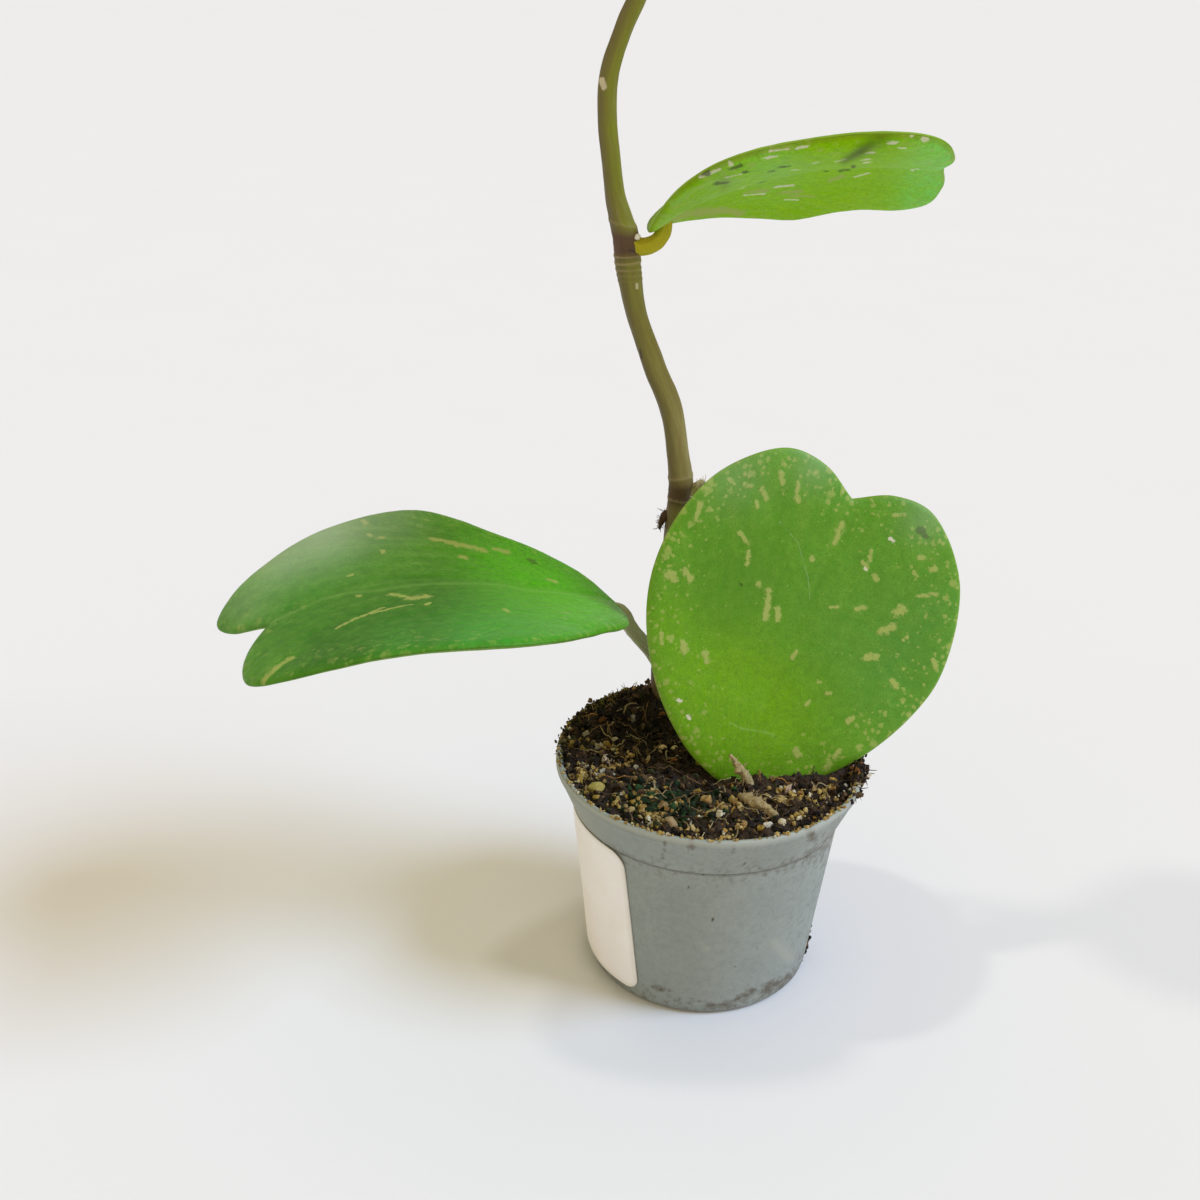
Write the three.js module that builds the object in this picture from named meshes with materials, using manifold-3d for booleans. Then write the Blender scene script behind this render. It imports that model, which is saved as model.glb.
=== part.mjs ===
// A young sweetheart hoya in a small nursery pot: one climbing stem, two heart-shaped leaves on short stalks,
// and a third heart-shaped leaf that stands in the soil by its own base.
// Millimetres, +Z up. The origin is the centre of the pot's base, on the surface that the pot stands on.
import * as THREE from "three";
import { mergeVertices } from "three/addons/utils/BufferGeometryUtils.js";
import Module from "manifold-3d";

const wasm = await Module();
wasm.setup();

const GAP = 0.3; // clearance between pieces that touch
const SAME_PLACE = 1e-4; // corners nearer than this are one corner
const deg = THREE.MathUtils.degToRad;

// ---- Driving dimensions: pot and label

const POT_HEIGHT = 46;
const POT_WALL = 0.9;
const RIM_RADIUS = 30;
const BAND = { bottom: 36.3, radius: 26.7, step: 0.4 }; // flared band under the rim
const BASE = { radius: 22.5, corner: 2, ringWidth: 2, plateBottom: 1.2, floorTop: 2.1 };
const FLOOR_FILLET = 1; // inside, where the floor turns up into the wall
const PAD_RADIUS = 4; // flat pad in the middle of the underside, level with the base ring
const RIBS = { count: 4, width: 1, bottom: 0.5, bite: 0.5 }; // bite: how far a rib runs into what it joins
const DRAIN = { count: 6, radius: 1.75, circle: 13, segments: 12, cutHeight: 4 };
const POT_SEGMENTS = 48;
const POT_ARC_STEPS = 3; // steps in each rounded corner of the pot's profile

const LABEL = {
  width: 31,
  bottom: 2.8,
  top: 36,
  corner: 3,
  thickness: 0.25,
  azimuth: deg(197.6), // direction of its middle, seen from above
  columns: 24,
};

// ---- Driving dimensions: soil

const SOIL_LEVEL = 44.2; // mean height of the surface
const SOIL_MOUNDS = [
  { x: -11, y: 24, height: 3.8, spread: 9 }, // fibrous heap at the back left
  { x: -12, y: 12, height: -2.6, spread: 6 }, // hollow in front of the heap
  { x: 24, y: 4, height: 1.6, spread: 8 }, // heap against the rim at the right
  { x: 2, y: -6, height: -0.9, spread: 7 }, // dip where the front leaf stands
  { x: -24, y: -2, height: 0.9, spread: 6 },
];
const SOIL_RINGS = [0.12, 0.25, 0.38, 0.5, 0.62, 0.74, 0.86, 0.94, 1]; // shares of the radius
const SOIL_EDGE = 28; // radius at which the surface meets the wall
const SOIL_BELOW_RIM = 1; // the surface meets the wall at least this far under the rim
const SOIL_FOOT = { rise: 1.3, inset: 1.4 }; // bevel around the fill's underside

// Larger grit on the surface: place and size across.
const GRIT = [
  { x: -22.1, y: -11.4, size: 2.5 },
  { x: -8.9, y: 3.9, size: 1.9 },
  { x: -6.6, y: 4.6, size: 1.5 },
  { x: -8.2, y: -22.7, size: 2.9 },
  { x: 1.7, y: -16.3, size: 2 },
  { x: 9.7, y: -22.1, size: 2 },
  { x: 12.6, y: -21.6, size: 1.9 },
  { x: 5.2, y: -21.9, size: 1.7 },
  { x: -13.1, y: -15.7, size: 2 },
  { x: -20.2, y: -2.3, size: 2.1 },
  { x: 1.9, y: -11.5, size: 1.4 },
];
const BARK_CHIP = { x: -1.2, y: -14.1, size: 2.9 };
const PEBBLE = { unevenness: 0.14, flatness: 0.8, lift: 0.15 }; // lift: its middle above the soil, in sizes

// ---- Driving dimensions: stem, stubs and roots. Each point is x, y, z and radius.

const STEPS_PER_SPAN = 2;
const STEM_SIDES = 12;
const STALK_SIDES = 10;
const ROOT_SIDES = 8;

const STEM_ROUTE = [
  [-6.5, 11, 15, 1.7], // cut end, deep in the soil
  [-7.6, 17, 30, 2.1],
  [-8.4, 22, 46.5, 2.4],
  [-8.7, 20.6, 53.8, 2.6], // hidden node that carries the left leaf
  [-8.6, 19.4, 59, 2.3],
  [-8.4, 17.6, 70.9, 2.25],
  [-8.2, 15.9, 84.7, 2.15],
  [-8, 15.2, 91.2, 2.05],
  [-7.5, 14.7, 96.2, 2.38], // lower node
  [-8.4, 14, 103.3, 2.1],
  [-10.2, 13.2, 112.5, 2.1],
  [-14, 12.4, 121.5, 2.05],
  [-17.1, 11.6, 130.1, 1.8],
  [-18.9, 11, 138.4, 2.2],
  [-19.4, 10.5, 143.6, 2.4], // upper node
  [-20.3, 10.2, 146.8, 2.15],
  [-21.6, 10, 151.2, 1.8],
  [-22.6, 9.6, 157.7, 1.7],
  [-23.4, 9.4, 164.1, 1.65],
  [-23.3, 9.2, 170.5, 1.6],
  [-21.6, 9.1, 176.7, 1.45],
  [-19.2, 9, 182.7, 1.5],
  [-16.5, 8.8, 189.5, 1.4],
  [-14.3, 8.6, 197.5, 1.2],
  [-13.3, 8.5, 204.5, 0.9],
  [-13, 8.4, 208.5, 0.5], // soft growing tip
];
const OLD_LEAF_STUB = [
  [-7.5, 14.9, 94.6, 1.2],
  [-5.4, 14.5, 95.6, 1.05],
  [-3.9, 14, 97.2, 0.95],
  [-3, 13.7, 98, 0.5],
];
const ROOT_STUB = [
  [-8, 15.2, 90.8, 0.95],
  [-9.7, 15.2, 90, 0.85],
  [-10.7, 15, 88.7, 0.65],
  [-11.1, 15, 87, 0.35],
];
const LEAF_ROOT = [
  [8, -7.8, 42.6, 0.7],
  [6.9, -8.2, 45.8, 0.9],
  [4.9, -8.4, 48.8, 0.85],
  [3.4, -8.2, 51, 0.45],
];
const ROOTLET_CHUNK = [
  [5.2, -12.4, 44.7, 0.8],
  [7.5, -14.8, 45, 1.05],
  [9.8, -17, 44.8, 0.8],
  [12, -19.3, 44.5, 0.45],
];

// ---- Driving dimensions: leaves
// A leaf's outline is half a heart from its base to its notch, as (across, along) in leaf lengths.
// arch, rise and curl have one value at the base and one at the tip, in degrees: arch bends the midrib over
// the whole leaf, rise tilts a half up from the midrib, and curl bends that half over one leaf length.

const LEAVES = {
  front: {
    thickness: 2.2,
    base: [4.2, -6, 41],
    yaw: 49,
    pitch: 61.4,
    roll: -46.1,
    length: 67.5,
    arch: [3, 7],
    sweep: -3.2,
    twist: 4.1,
    left: { width: 0.98, rise: [8.2, 4.8], curl: [-8.1, -5.8] },
    right: { width: 0.948, rise: [9.1, 5.5], curl: [-6.5, -10.5] },
    outline: [
      [0.181, 0.083], [0.368, 0.267], [0.474, 0.523], [0.423, 0.802],
      [0.254, 0.963], [0.118, 0.966], [0, 0.91],
    ],
    stalk: [
      [1.8, -9.6, 31, 1.2],
      [2.3, -8.3, 35.5, 1.4],
      [3.4, -6.9, 38.8, 1.6],
      [5.4, -4.6, 44.5, 0.9],
    ],
  },
  left: {
    thickness: 2.2,
    base: [-18.1, 12.5, 71.5],
    yaw: 205,
    pitch: 22.5,
    roll: 4.5,
    length: 79.8,
    arch: [-7.5, -101.6],
    sweep: -0.3,
    twist: 9.9,
    left: { width: 0.979, rise: [9.5, 0.9], curl: [15.5, 12.9] },
    right: { width: 0.662, rise: [10.5, 4.2], curl: [4, 10.2] },
    outline: [
      [0.186, 0.078], [0.374, 0.271], [0.517, 0.454], [0.42, 0.8],
      [0.244, 0.985], [0.105, 0.969], [0, 0.891],
    ],
    stalk: [
      [-8.7, 20.2, 54.4, 1.9],
      [-11.6, 16.9, 59.6, 1.55],
      [-15.9, 13.8, 66.2, 1.5],
      [-18.3, 12.4, 70.6, 1.7],
      [-20.6, 11.3, 72.5, 1],
    ],
  },
  upper: {
    thickness: 2,
    base: [-15.8, 9.5, 145.4],
    yaw: -18.8,
    pitch: 44.1,
    roll: -4.2,
    length: 58.1,
    arch: [-78.1, -22.7],
    sweep: 6.4,
    twist: -1.6,
    left: { width: 1.103, rise: [-18.3, -21.9], curl: [-43.9, -16.1] },
    right: { width: 0.919, rise: [-0.5, 12.5], curl: [59.9, 44.9] },
    outline: [
      [0.19, 0.089], [0.436, 0.314], [0.462, 0.574], [0.428, 0.859],
      [0.253, 0.918], [0.108, 0.907], [0, 0.903],
    ],
    stalk: [
      [-19.4, 10.5, 143.3, 1.7],
      [-16.8, 10.1, 142.7, 1.55],
      [-14.4, 9.7, 143.6, 1.4],
      [-13, 9.4, 145.7, 1.3],
      [-12.3, 9, 148.6, 0.9],
    ],
  },
};
const LEAF_RINGS = [0.3, 0.55, 0.75, 0.88, 0.96]; // shares of the outline, from the middle to the edge
const OUTLINE_STEPS = 28; // per half
const MIDRIB_STEPS = 24;
const EDGE_ROUNDNESS = 8; // power of the thickness profile towards the edge

// ---- Finishes

const FINISHES = {
  plastic: { color: 0x8a9294, roughness: 0.6 },
  paper: { color: 0xe9e4da, roughness: 0.7 },
  stem: { color: 0x6b6a35, roughness: 0.55 },
  frontLeaf: { color: 0x5b8f2a, roughness: 0.4 },
  leftLeaf: { color: 0x3f7f34, roughness: 0.35 },
  upperLeaf: { color: 0x6fae22, roughness: 0.4 },
  dryStub: { color: 0xb59a6a, roughness: 0.8 },
  darkRoot: { color: 0x5a4030, roughness: 0.9 },
  paleRoot: { color: 0xc9a878, roughness: 0.9 },
  rootlets: { color: 0xa08658, roughness: 0.9 },
  bark: { color: 0x6a4c30, roughness: 0.9 },
  grit: { color: 0xc49a54, roughness: 0.9 },
  soil: { color: 0x2b221a, roughness: 1 },
};

// ---- Closed solids

/** Triangles turned outwards: the signed volume of a closed mesh is positive when its faces point out. */
function facingOut(positions, triangles) {
  const [a, b, c] = [new THREE.Vector3(), new THREE.Vector3(), new THREE.Vector3()];
  let volume = 0;
  for (let i = 0; i < triangles.length; i += 3) {
    a.fromArray(positions, 3 * triangles[i]);
    b.fromArray(positions, 3 * triangles[i + 1]);
    c.fromArray(positions, 3 * triangles[i + 2]);
    volume += a.dot(b.cross(c));
  }
  if (volume < 0) triangles.reverse();
  return triangles;
}

function solidOf(positions, triangles) {
  const vertProperties = new Float32Array(positions);
  const triVerts = new Uint32Array(facingOut(positions, triangles));
  return new wasm.Manifold(new wasm.Mesh({ numProp: 3, vertProperties, triVerts }));
}

/** A three.js geometry's solid, with its shared corners merged. */
function solidFromGeometry(geometry) {
  const bare = geometry.clone();
  bare.deleteAttribute("normal");
  bare.deleteAttribute("uv");
  const merged = mergeVertices(bare, SAME_PLACE);
  return solidOf(Array.from(merged.attributes.position.array), Array.from(merged.index.array));
}

function geometryOf(solid) {
  const { vertProperties, triVerts } = solid.getMesh();
  const geometry = new THREE.BufferGeometry();
  geometry.setAttribute("position", new THREE.BufferAttribute(vertProperties, 3));
  geometry.setIndex(new THREE.BufferAttribute(triVerts, 1));
  const flat = geometry.toNonIndexed();
  flat.computeVertexNormals();
  return flat;
}

/** The closed skin through rings of points that all have the same count, with a fan to each end point. */
function solidThroughRings(rings, firstEnd = centreOf(rings[0]), lastEnd = centreOf(rings.at(-1))) {
  const count = rings[0].length;
  const positions = rings.flat().concat([firstEnd, lastEnd]).flatMap((p) => p.toArray());
  const [first, last] = [rings.length * count, rings.length * count + 1];
  const lastRing = (rings.length - 1) * count;
  const triangles = [];
  for (let i = 0; i < count; i++) {
    const next = (i + 1) % count;
    triangles.push(first, next, i, last, lastRing + i, lastRing + next);
    for (let start = 0; start < lastRing; start += count) {
      triangles.push(start + i, start + next, start + count + i);
      triangles.push(start + next, start + count + next, start + count + i);
    }
  }
  return solidOf(positions, triangles);
}

function centreOf(points) {
  return points.reduce((sum, p) => sum.add(p), new THREE.Vector3()).divideScalar(points.length);
}

/** A round solid of varying radius along a smooth route; grow widens it all over. */
function tube(route, sides, grow = 0) {
  const curve = new THREE.CatmullRomCurve3(route.map(([x, y, z]) => new THREE.Vector3(x, y, z)));
  const spans = route.length - 1;
  const rings = [];
  for (let i = 0; i <= spans * STEPS_PER_SPAN; i++) {
    const place = i / STEPS_PER_SPAN;
    const before = Math.min(Math.floor(place), spans - 1);
    const radius = grow + THREE.MathUtils.lerp(route[before][3], route[before + 1][3], place - before);
    const centre = curve.getPoint(place / spans);
    const along = curve.getTangent(place / spans);
    const across = new THREE.Vector3(0, 1, 0).cross(along).normalize();
    const third = new THREE.Vector3().crossVectors(along, across);
    rings.push(
      Array.from({ length: sides }, (_, k) => {
        const turn = (2 * Math.PI * k) / sides;
        return centre
          .clone()
          .addScaledVector(across, radius * Math.cos(turn))
          .addScaledVector(third, radius * Math.sin(turn));
      }),
    );
  }
  return solidThroughRings(rings);
}

// ---- Pot and label

/** The outer wall's radius at a height below the band. */
function outerRadius(z) {
  const top = BAND.radius - BAND.step;
  return THREE.MathUtils.mapLinear(z, BASE.corner, BAND.bottom, BASE.radius, top);
}

/** The inner wall's radius at a height: the tapered wall, then the flared band. */
function innerRadius(z) {
  if (z < BAND.bottom) return outerRadius(z) - POT_WALL;
  const bandFoot = outerRadius(BAND.bottom) - POT_WALL;
  return THREE.MathUtils.mapLinear(z, BAND.bottom, POT_HEIGHT, bandFoot, RIM_RADIUS - POT_WALL);
}

function pot() {
  const ringInner = BASE.radius - BASE.corner - BASE.ringWidth;
  const lip = POT_WALL / 2;
  const profile = new THREE.Path();
  profile.moveTo(0, 0);
  profile.lineTo(PAD_RADIUS, 0);
  profile.lineTo(PAD_RADIUS, BASE.plateBottom);
  profile.lineTo(ringInner, BASE.plateBottom);
  profile.lineTo(ringInner, 0);
  profile.lineTo(BASE.radius - BASE.corner, 0);
  profile.absarc(BASE.radius - BASE.corner, BASE.corner, BASE.corner, -Math.PI / 2, 0, false);
  profile.lineTo(outerRadius(BAND.bottom), BAND.bottom);
  profile.lineTo(BAND.radius, BAND.bottom + BAND.step);
  profile.lineTo(RIM_RADIUS, POT_HEIGHT - lip);
  profile.absarc(RIM_RADIUS - lip, POT_HEIGHT - lip, lip, 0, Math.PI, false);
  profile.lineTo(innerRadius(BAND.bottom), BAND.bottom);
  profile.lineTo(innerRadius(BASE.floorTop + FLOOR_FILLET), BASE.floorTop + FLOOR_FILLET);
  profile.lineTo(innerRadius(BASE.floorTop) - FLOOR_FILLET, BASE.floorTop);
  profile.lineTo(0, BASE.floorTop);
  const lathe = new THREE.LatheGeometry(profile.getPoints(POT_ARC_STEPS), POT_SEGMENTS);
  let solid = solidFromGeometry(lathe.rotateX(Math.PI / 2));
  const ribLength = ringInner - PAD_RADIUS + 2 * RIBS.bite;
  const ribHeight = BASE.plateBottom - RIBS.bottom + RIBS.bite;
  for (let i = 0; i < RIBS.count; i++) {
    const rib = new THREE.BoxGeometry(ribLength, RIBS.width, ribHeight);
    rib.translate(PAD_RADIUS - RIBS.bite + ribLength / 2, 0, RIBS.bottom + ribHeight / 2);
    solid = solid.add(solidFromGeometry(rib.rotateZ((2 * Math.PI * i) / RIBS.count)));
  }
  for (let i = 0; i < DRAIN.count; i++) {
    const hole = new THREE.CylinderGeometry(DRAIN.radius, DRAIN.radius, DRAIN.cutHeight, DRAIN.segments);
    const turn = (2 * Math.PI * (i + 0.5)) / DRAIN.count;
    hole.rotateX(Math.PI / 2);
    hole.translate(DRAIN.circle * Math.cos(turn), DRAIN.circle * Math.sin(turn), BASE.floorTop);
    solid = solid.subtract(solidFromGeometry(hole));
  }
  return solid;
}

/** A sheet with rounded corners, bent round the tapered wall. Each ring is its section at one direction. */
function label() {
  const middle = (LABEL.top + LABEL.bottom) / 2;
  const halfHeight = (LABEL.top - LABEL.bottom) / 2;
  const rings = [];
  for (let i = 0; i <= LABEL.columns; i++) {
    const finerAtEnds = Math.sin((Math.PI / 2) * ((2 * i) / LABEL.columns - 1));
    const across = (LABEL.width / 2) * finerAtEnds;
    const intoCorner = Math.max(0, Math.abs(across) - (LABEL.width / 2 - LABEL.corner));
    const rounding = LABEL.corner - Math.sqrt(LABEL.corner ** 2 - intoCorner ** 2);
    const reach = halfHeight - rounding;
    const corners = [
      [-reach, 0],
      [-reach, LABEL.thickness],
      [reach, LABEL.thickness],
      [reach, 0],
    ];
    rings.push(
      corners.map(([up, out]) => {
        const radius = outerRadius(middle + up) + GAP + out;
        const turn = LABEL.azimuth + across / outerRadius(middle + up);
        return new THREE.Vector3(radius * Math.cos(turn), radius * Math.sin(turn), middle + up);
      }),
    );
  }
  return solidThroughRings(rings);
}

// ---- Soil and what lies on it

/** Height of the soil's surface: a level with soft round mounds and hollows. */
function soilTop(x, y) {
  const swell = ({ x: mx, y: my, height, spread }) =>
    height * Math.exp(-((x - mx) ** 2 + (y - my) ** 2) / spread ** 2);
  return SOIL_LEVEL + SOIL_MOUNDS.reduce((sum, mound) => sum + swell(mound), 0);
}

/** The fill: its surface from the middle outwards, then down the pot's inner wall and across its floor. */
function soil() {
  const steps = POT_SEGMENTS;
  const floor = BASE.floorTop + GAP;
  const ring = (radiusAt, heightAt) =>
    Array.from({ length: steps }, (_, i) => {
      const turn = (2 * Math.PI * i) / steps;
      const [cx, cy] = [Math.cos(turn), Math.sin(turn)];
      const radius = radiusAt(cx, cy);
      return new THREE.Vector3(radius * cx, radius * cy, heightAt(radius * cx, radius * cy));
    });
  const wall = (z) => (innerRadius(z) - GAP) * Math.cos(Math.PI / POT_SEGMENTS);
  const highest = POT_HEIGHT - SOIL_BELOW_RIM;
  const edge = (cx, cy) => wall(Math.min(highest, soilTop(SOIL_EDGE * cx, SOIL_EDGE * cy)));
  const rings = SOIL_RINGS.map((share) => ring((cx, cy) => share * edge(cx, cy), soilTop));
  for (const z of [BAND.bottom, floor + SOIL_FOOT.rise]) {
    rings.push(ring(() => wall(z), () => z));
  }
  rings.push(ring(() => wall(floor) - SOIL_FOOT.inset, () => floor));
  return solidThroughRings(
    rings,
    new THREE.Vector3(0, 0, soilTop(0, 0)),
    new THREE.Vector3(0, 0, floor),
  );
}

/** An uneven pebble, a little flattened, that lies in a dent of the soil. */
function pebble({ x, y, size }, grow = 0) {
  const stone = new THREE.IcosahedronGeometry(1, 1);
  const corners = stone.attributes.position;
  const corner = new THREE.Vector3();
  for (let i = 0; i < corners.count; i++) {
    corner.fromBufferAttribute(corners, i);
    // Its place sets the phase of its lumps, so no two are alike.
    const lumps = Math.sin(3 * corner.x + 5 * x) * Math.cos(4 * corner.y + 3 * y);
    corner.multiplyScalar((size / 2) * (1 + PEBBLE.unevenness * lumps) + grow);
    corners.setXYZ(i, corner.x, corner.y, PEBBLE.flatness * corner.z);
  }
  stone.translate(x, y, soilTop(x, y) + PEBBLE.lift * size);
  return solidFromGeometry(stone);
}

// ---- Leaves

/** Places along the midrib, each with its direction, its sideways direction and its upper side. */
function midrib({ base, yaw, pitch, roll, length, arch, sweep, twist }) {
  const heading = new THREE.Vector3(Math.cos(deg(yaw)), Math.sin(deg(yaw)), 0);
  const along = heading.clone().multiplyScalar(Math.cos(deg(pitch))).setZ(Math.sin(deg(pitch)));
  const side = new THREE.Vector3(heading.y, -heading.x, 0).applyAxisAngle(along, -deg(roll));
  const up = new THREE.Vector3().crossVectors(side, along);
  const places = [{ point: new THREE.Vector3(...base), along, side, up }];
  for (let i = 0; i < MIDRIB_STEPS; i++) {
    const here = places[i];
    const bend = THREE.MathUtils.lerp(arch[0], arch[1], (i + 0.5) / MIDRIB_STEPS);
    const turn = new THREE.Vector3()
      .addScaledVector(here.side, deg(bend))
      .addScaledVector(here.up, deg(sweep))
      .addScaledVector(here.along, deg(twist))
      .divideScalar(MIDRIB_STEPS);
    const angle = turn.length();
    const turned = (v) => v.clone().applyAxisAngle(turn.clone().normalize(), angle);
    const next = { along: turned(here.along), side: turned(here.side), up: turned(here.up) };
    const middle = here.along.clone().add(next.along).multiplyScalar(length / MIDRIB_STEPS / 2);
    places.push({ point: here.point.clone().add(middle), ...next });
  }
  return places;
}

/** The heart's outline, right half up from the base to the notch and left half back down. */
function heartOutline(leaf) {
  const points = [[0, 0], ...leaf.outline].map(([across, along]) => new THREE.Vector3(across, along, 0));
  const half = new THREE.CatmullRomCurve3(points, false, "centripetal").getPoints(OUTLINE_STEPS);
  const place = (width) => (p) => new THREE.Vector2(p.x * width * leaf.length, p.y * leaf.length);
  const right = half.map(place(leaf.right.width));
  const left = half.slice(1, -1).reverse().map(place(-leaf.left.width));
  return right.concat(left);
}

/** Carries a flat point of the leaf onto its curved surface, lifted by an amount along the normal. */
function bent(leaf, places, flat, lift) {
  const share = THREE.MathUtils.clamp(flat.y / leaf.length, 0, 1);
  const index = Math.min(Math.floor(share * MIDRIB_STEPS), MIDRIB_STEPS - 1);
  const part = share * MIDRIB_STEPS - index;
  const mix = (key) => places[index][key].clone().lerp(places[index + 1][key], part);
  const half = flat.x < 0 ? leaf.left : leaf.right;
  const rise = deg(THREE.MathUtils.lerp(half.rise[0], half.rise[1], share));
  const curl = deg(THREE.MathUtils.lerp(half.curl[0], half.curl[1], share)) / leaf.length;
  const out = Math.abs(flat.x);
  const sign = Math.sign(flat.x);
  const slope = rise + curl * out;
  const across = (Math.sin(slope) - Math.sin(rise)) / curl;
  const height = (Math.cos(rise) - Math.cos(slope)) / curl;
  const beyond = flat.y - share * leaf.length;
  return mix("point")
    .addScaledVector(mix("along"), beyond)
    .addScaledVector(mix("side"), sign * (across - lift * Math.sin(slope)))
    .addScaledVector(mix("up"), height + lift * Math.cos(slope));
}

/** The thick blade: rings from the middle of the upper side out to the edge, and back in underneath. */
function blade(leaf, grow = 0) {
  const places = midrib(leaf);
  const outline = heartOutline(leaf);
  const middle = new THREE.Vector2(0, leaf.length / 2);
  const growth = 1 + (2 * grow) / leaf.length;
  const halfThickness = leaf.thickness / 2 + grow;
  const ring = (share, side) =>
    outline.map((edge) => {
      const lift = side * halfThickness * Math.sqrt(1 - share ** EDGE_ROUNDNESS);
      return bent(leaf, places, edge.clone().lerp(middle, 1 - share * growth), lift);
    });
  const rings = [
    ...LEAF_RINGS.map((share) => ring(share, 1)),
    ring(1, 0),
    ...LEAF_RINGS.toReversed().map((share) => ring(share, -1)),
  ];
  return solidThroughRings(
    rings,
    bent(leaf, places, middle, halfThickness),
    bent(leaf, places, middle, -halfThickness),
  );
}

function leafSolid(leaf, grow = 0) {
  return blade(leaf, grow).add(tube(leaf.stalk, STALK_SIDES, grow));
}

// ---- Assembly

const plant = new THREE.Group();

function addPiece(name, solid, finish) {
  const mesh = new THREE.Mesh(geometryOf(solid), new THREE.MeshStandardMaterial({ ...finish, metalness: 0 }));
  mesh.name = name;
  plant.add(mesh);
}

const cutBy = (solid, ...rooms) => rooms.reduce((rest, room) => rest.subtract(room), solid);
const stemRoom = tube(STEM_ROUTE, STEM_SIDES, GAP);
const frontLeafRoom = leafSolid(LEAVES.front, GAP);

addPiece("nursery_pot", pot(), FINISHES.plastic);
addPiece("pot_label", label(), FINISHES.paper);
addPiece("main_stem", tube(STEM_ROUTE, STEM_SIDES), FINISHES.stem);
addPiece("leaf_front", leafSolid(LEAVES.front), FINISHES.frontLeaf);
addPiece("leaf_left", cutBy(leafSolid(LEAVES.left), stemRoom), FINISHES.leftLeaf);
addPiece("leaf_upper", cutBy(leafSolid(LEAVES.upper), stemRoom), FINISHES.upperLeaf);
addPiece("old_leaf_stub", cutBy(tube(OLD_LEAF_STUB, ROOT_SIDES), stemRoom, frontLeafRoom), FINISHES.dryStub);
addPiece("root_stub", cutBy(tube(ROOT_STUB, ROOT_SIDES), stemRoom, frontLeafRoom), FINISHES.darkRoot);
addPiece("leaf_root", cutBy(tube(LEAF_ROOT, ROOT_SIDES), frontLeafRoom), FINISHES.paleRoot);
addPiece("rootlet_chunk", tube(ROOTLET_CHUNK, ROOT_SIDES), FINISHES.rootlets);
addPiece("bark_chip", pebble(BARK_CHIP), FINISHES.bark);
GRIT.forEach((grain, i) => {
  addPiece(`grit_${String(i + 1).padStart(2, "0")}`, pebble(grain), FINISHES.grit);
});

const rootRooms = [LEAF_ROOT, ROOTLET_CHUNK].map((route) => tube(route, ROOT_SIDES, GAP));
const pebbleRooms = [BARK_CHIP, ...GRIT].map((grain) => pebble(grain, GAP));
addPiece("potting_soil", cutBy(soil(), stemRoom, frontLeafRoom, ...rootRooms, ...pebbleRooms), FINISHES.soil);

export default plant;
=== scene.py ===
"""A young sweetheart hoya in a small nursery pot: its finished surfaces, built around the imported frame.

Sizes here are millimetres, and each mesh becomes metres when it is made. A place called seen is a pixel of
a picture IMAGE pixels wide, taken by the camera below. It only finds the spot on a surface for a mark, and
for the bead of sap.
"""

import itertools
from functools import partial
from math import cos, pi, radians, sin, tau

import bpy
import numpy as np
from bpy.props import FloatProperty, FloatVectorProperty, IntProperty, PointerProperty
from mathutils import Matrix, Vector


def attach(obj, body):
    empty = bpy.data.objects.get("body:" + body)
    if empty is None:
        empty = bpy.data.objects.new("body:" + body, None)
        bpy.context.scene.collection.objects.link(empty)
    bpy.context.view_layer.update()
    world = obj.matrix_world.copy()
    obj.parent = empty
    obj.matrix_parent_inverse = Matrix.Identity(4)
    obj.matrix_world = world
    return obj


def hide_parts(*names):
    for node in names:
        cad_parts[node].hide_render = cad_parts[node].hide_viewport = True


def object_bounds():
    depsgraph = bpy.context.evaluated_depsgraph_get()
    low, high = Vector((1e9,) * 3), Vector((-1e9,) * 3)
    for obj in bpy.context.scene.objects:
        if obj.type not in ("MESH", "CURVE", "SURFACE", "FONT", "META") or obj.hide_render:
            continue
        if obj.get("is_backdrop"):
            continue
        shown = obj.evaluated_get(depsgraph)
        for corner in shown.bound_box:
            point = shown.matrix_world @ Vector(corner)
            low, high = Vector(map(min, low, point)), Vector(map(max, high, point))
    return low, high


bl_info = {
    "name": "Potted Hoya",
    "version": (1, 0, 0),
    "blender": (4, 5, 0),
    "location": "3D View > Sidebar > Hoya",
    "description": "A sweetheart hoya in a small grey nursery pot",
    "category": "Add Mesh",
}

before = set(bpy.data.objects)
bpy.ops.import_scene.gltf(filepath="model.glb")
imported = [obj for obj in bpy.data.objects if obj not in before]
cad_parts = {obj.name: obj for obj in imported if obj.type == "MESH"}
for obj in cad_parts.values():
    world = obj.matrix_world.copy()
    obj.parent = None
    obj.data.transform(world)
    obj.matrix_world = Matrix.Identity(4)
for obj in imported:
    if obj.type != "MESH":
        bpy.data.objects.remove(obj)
cad_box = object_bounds()

MM = 0.001
TINY = 1e-6
IMAGE = 1200
CAMERA = {
    "place": (-22.26, -252.69, 200.06),
    "down": radians(25.624),
    "roll": radians(1.65),
    "lens": 45,
    "sensor": 36,
}
PIXELS_PER_MM = 5.9  # of that picture, at the plant

# ---- Sizes of the pot and the label

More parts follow.
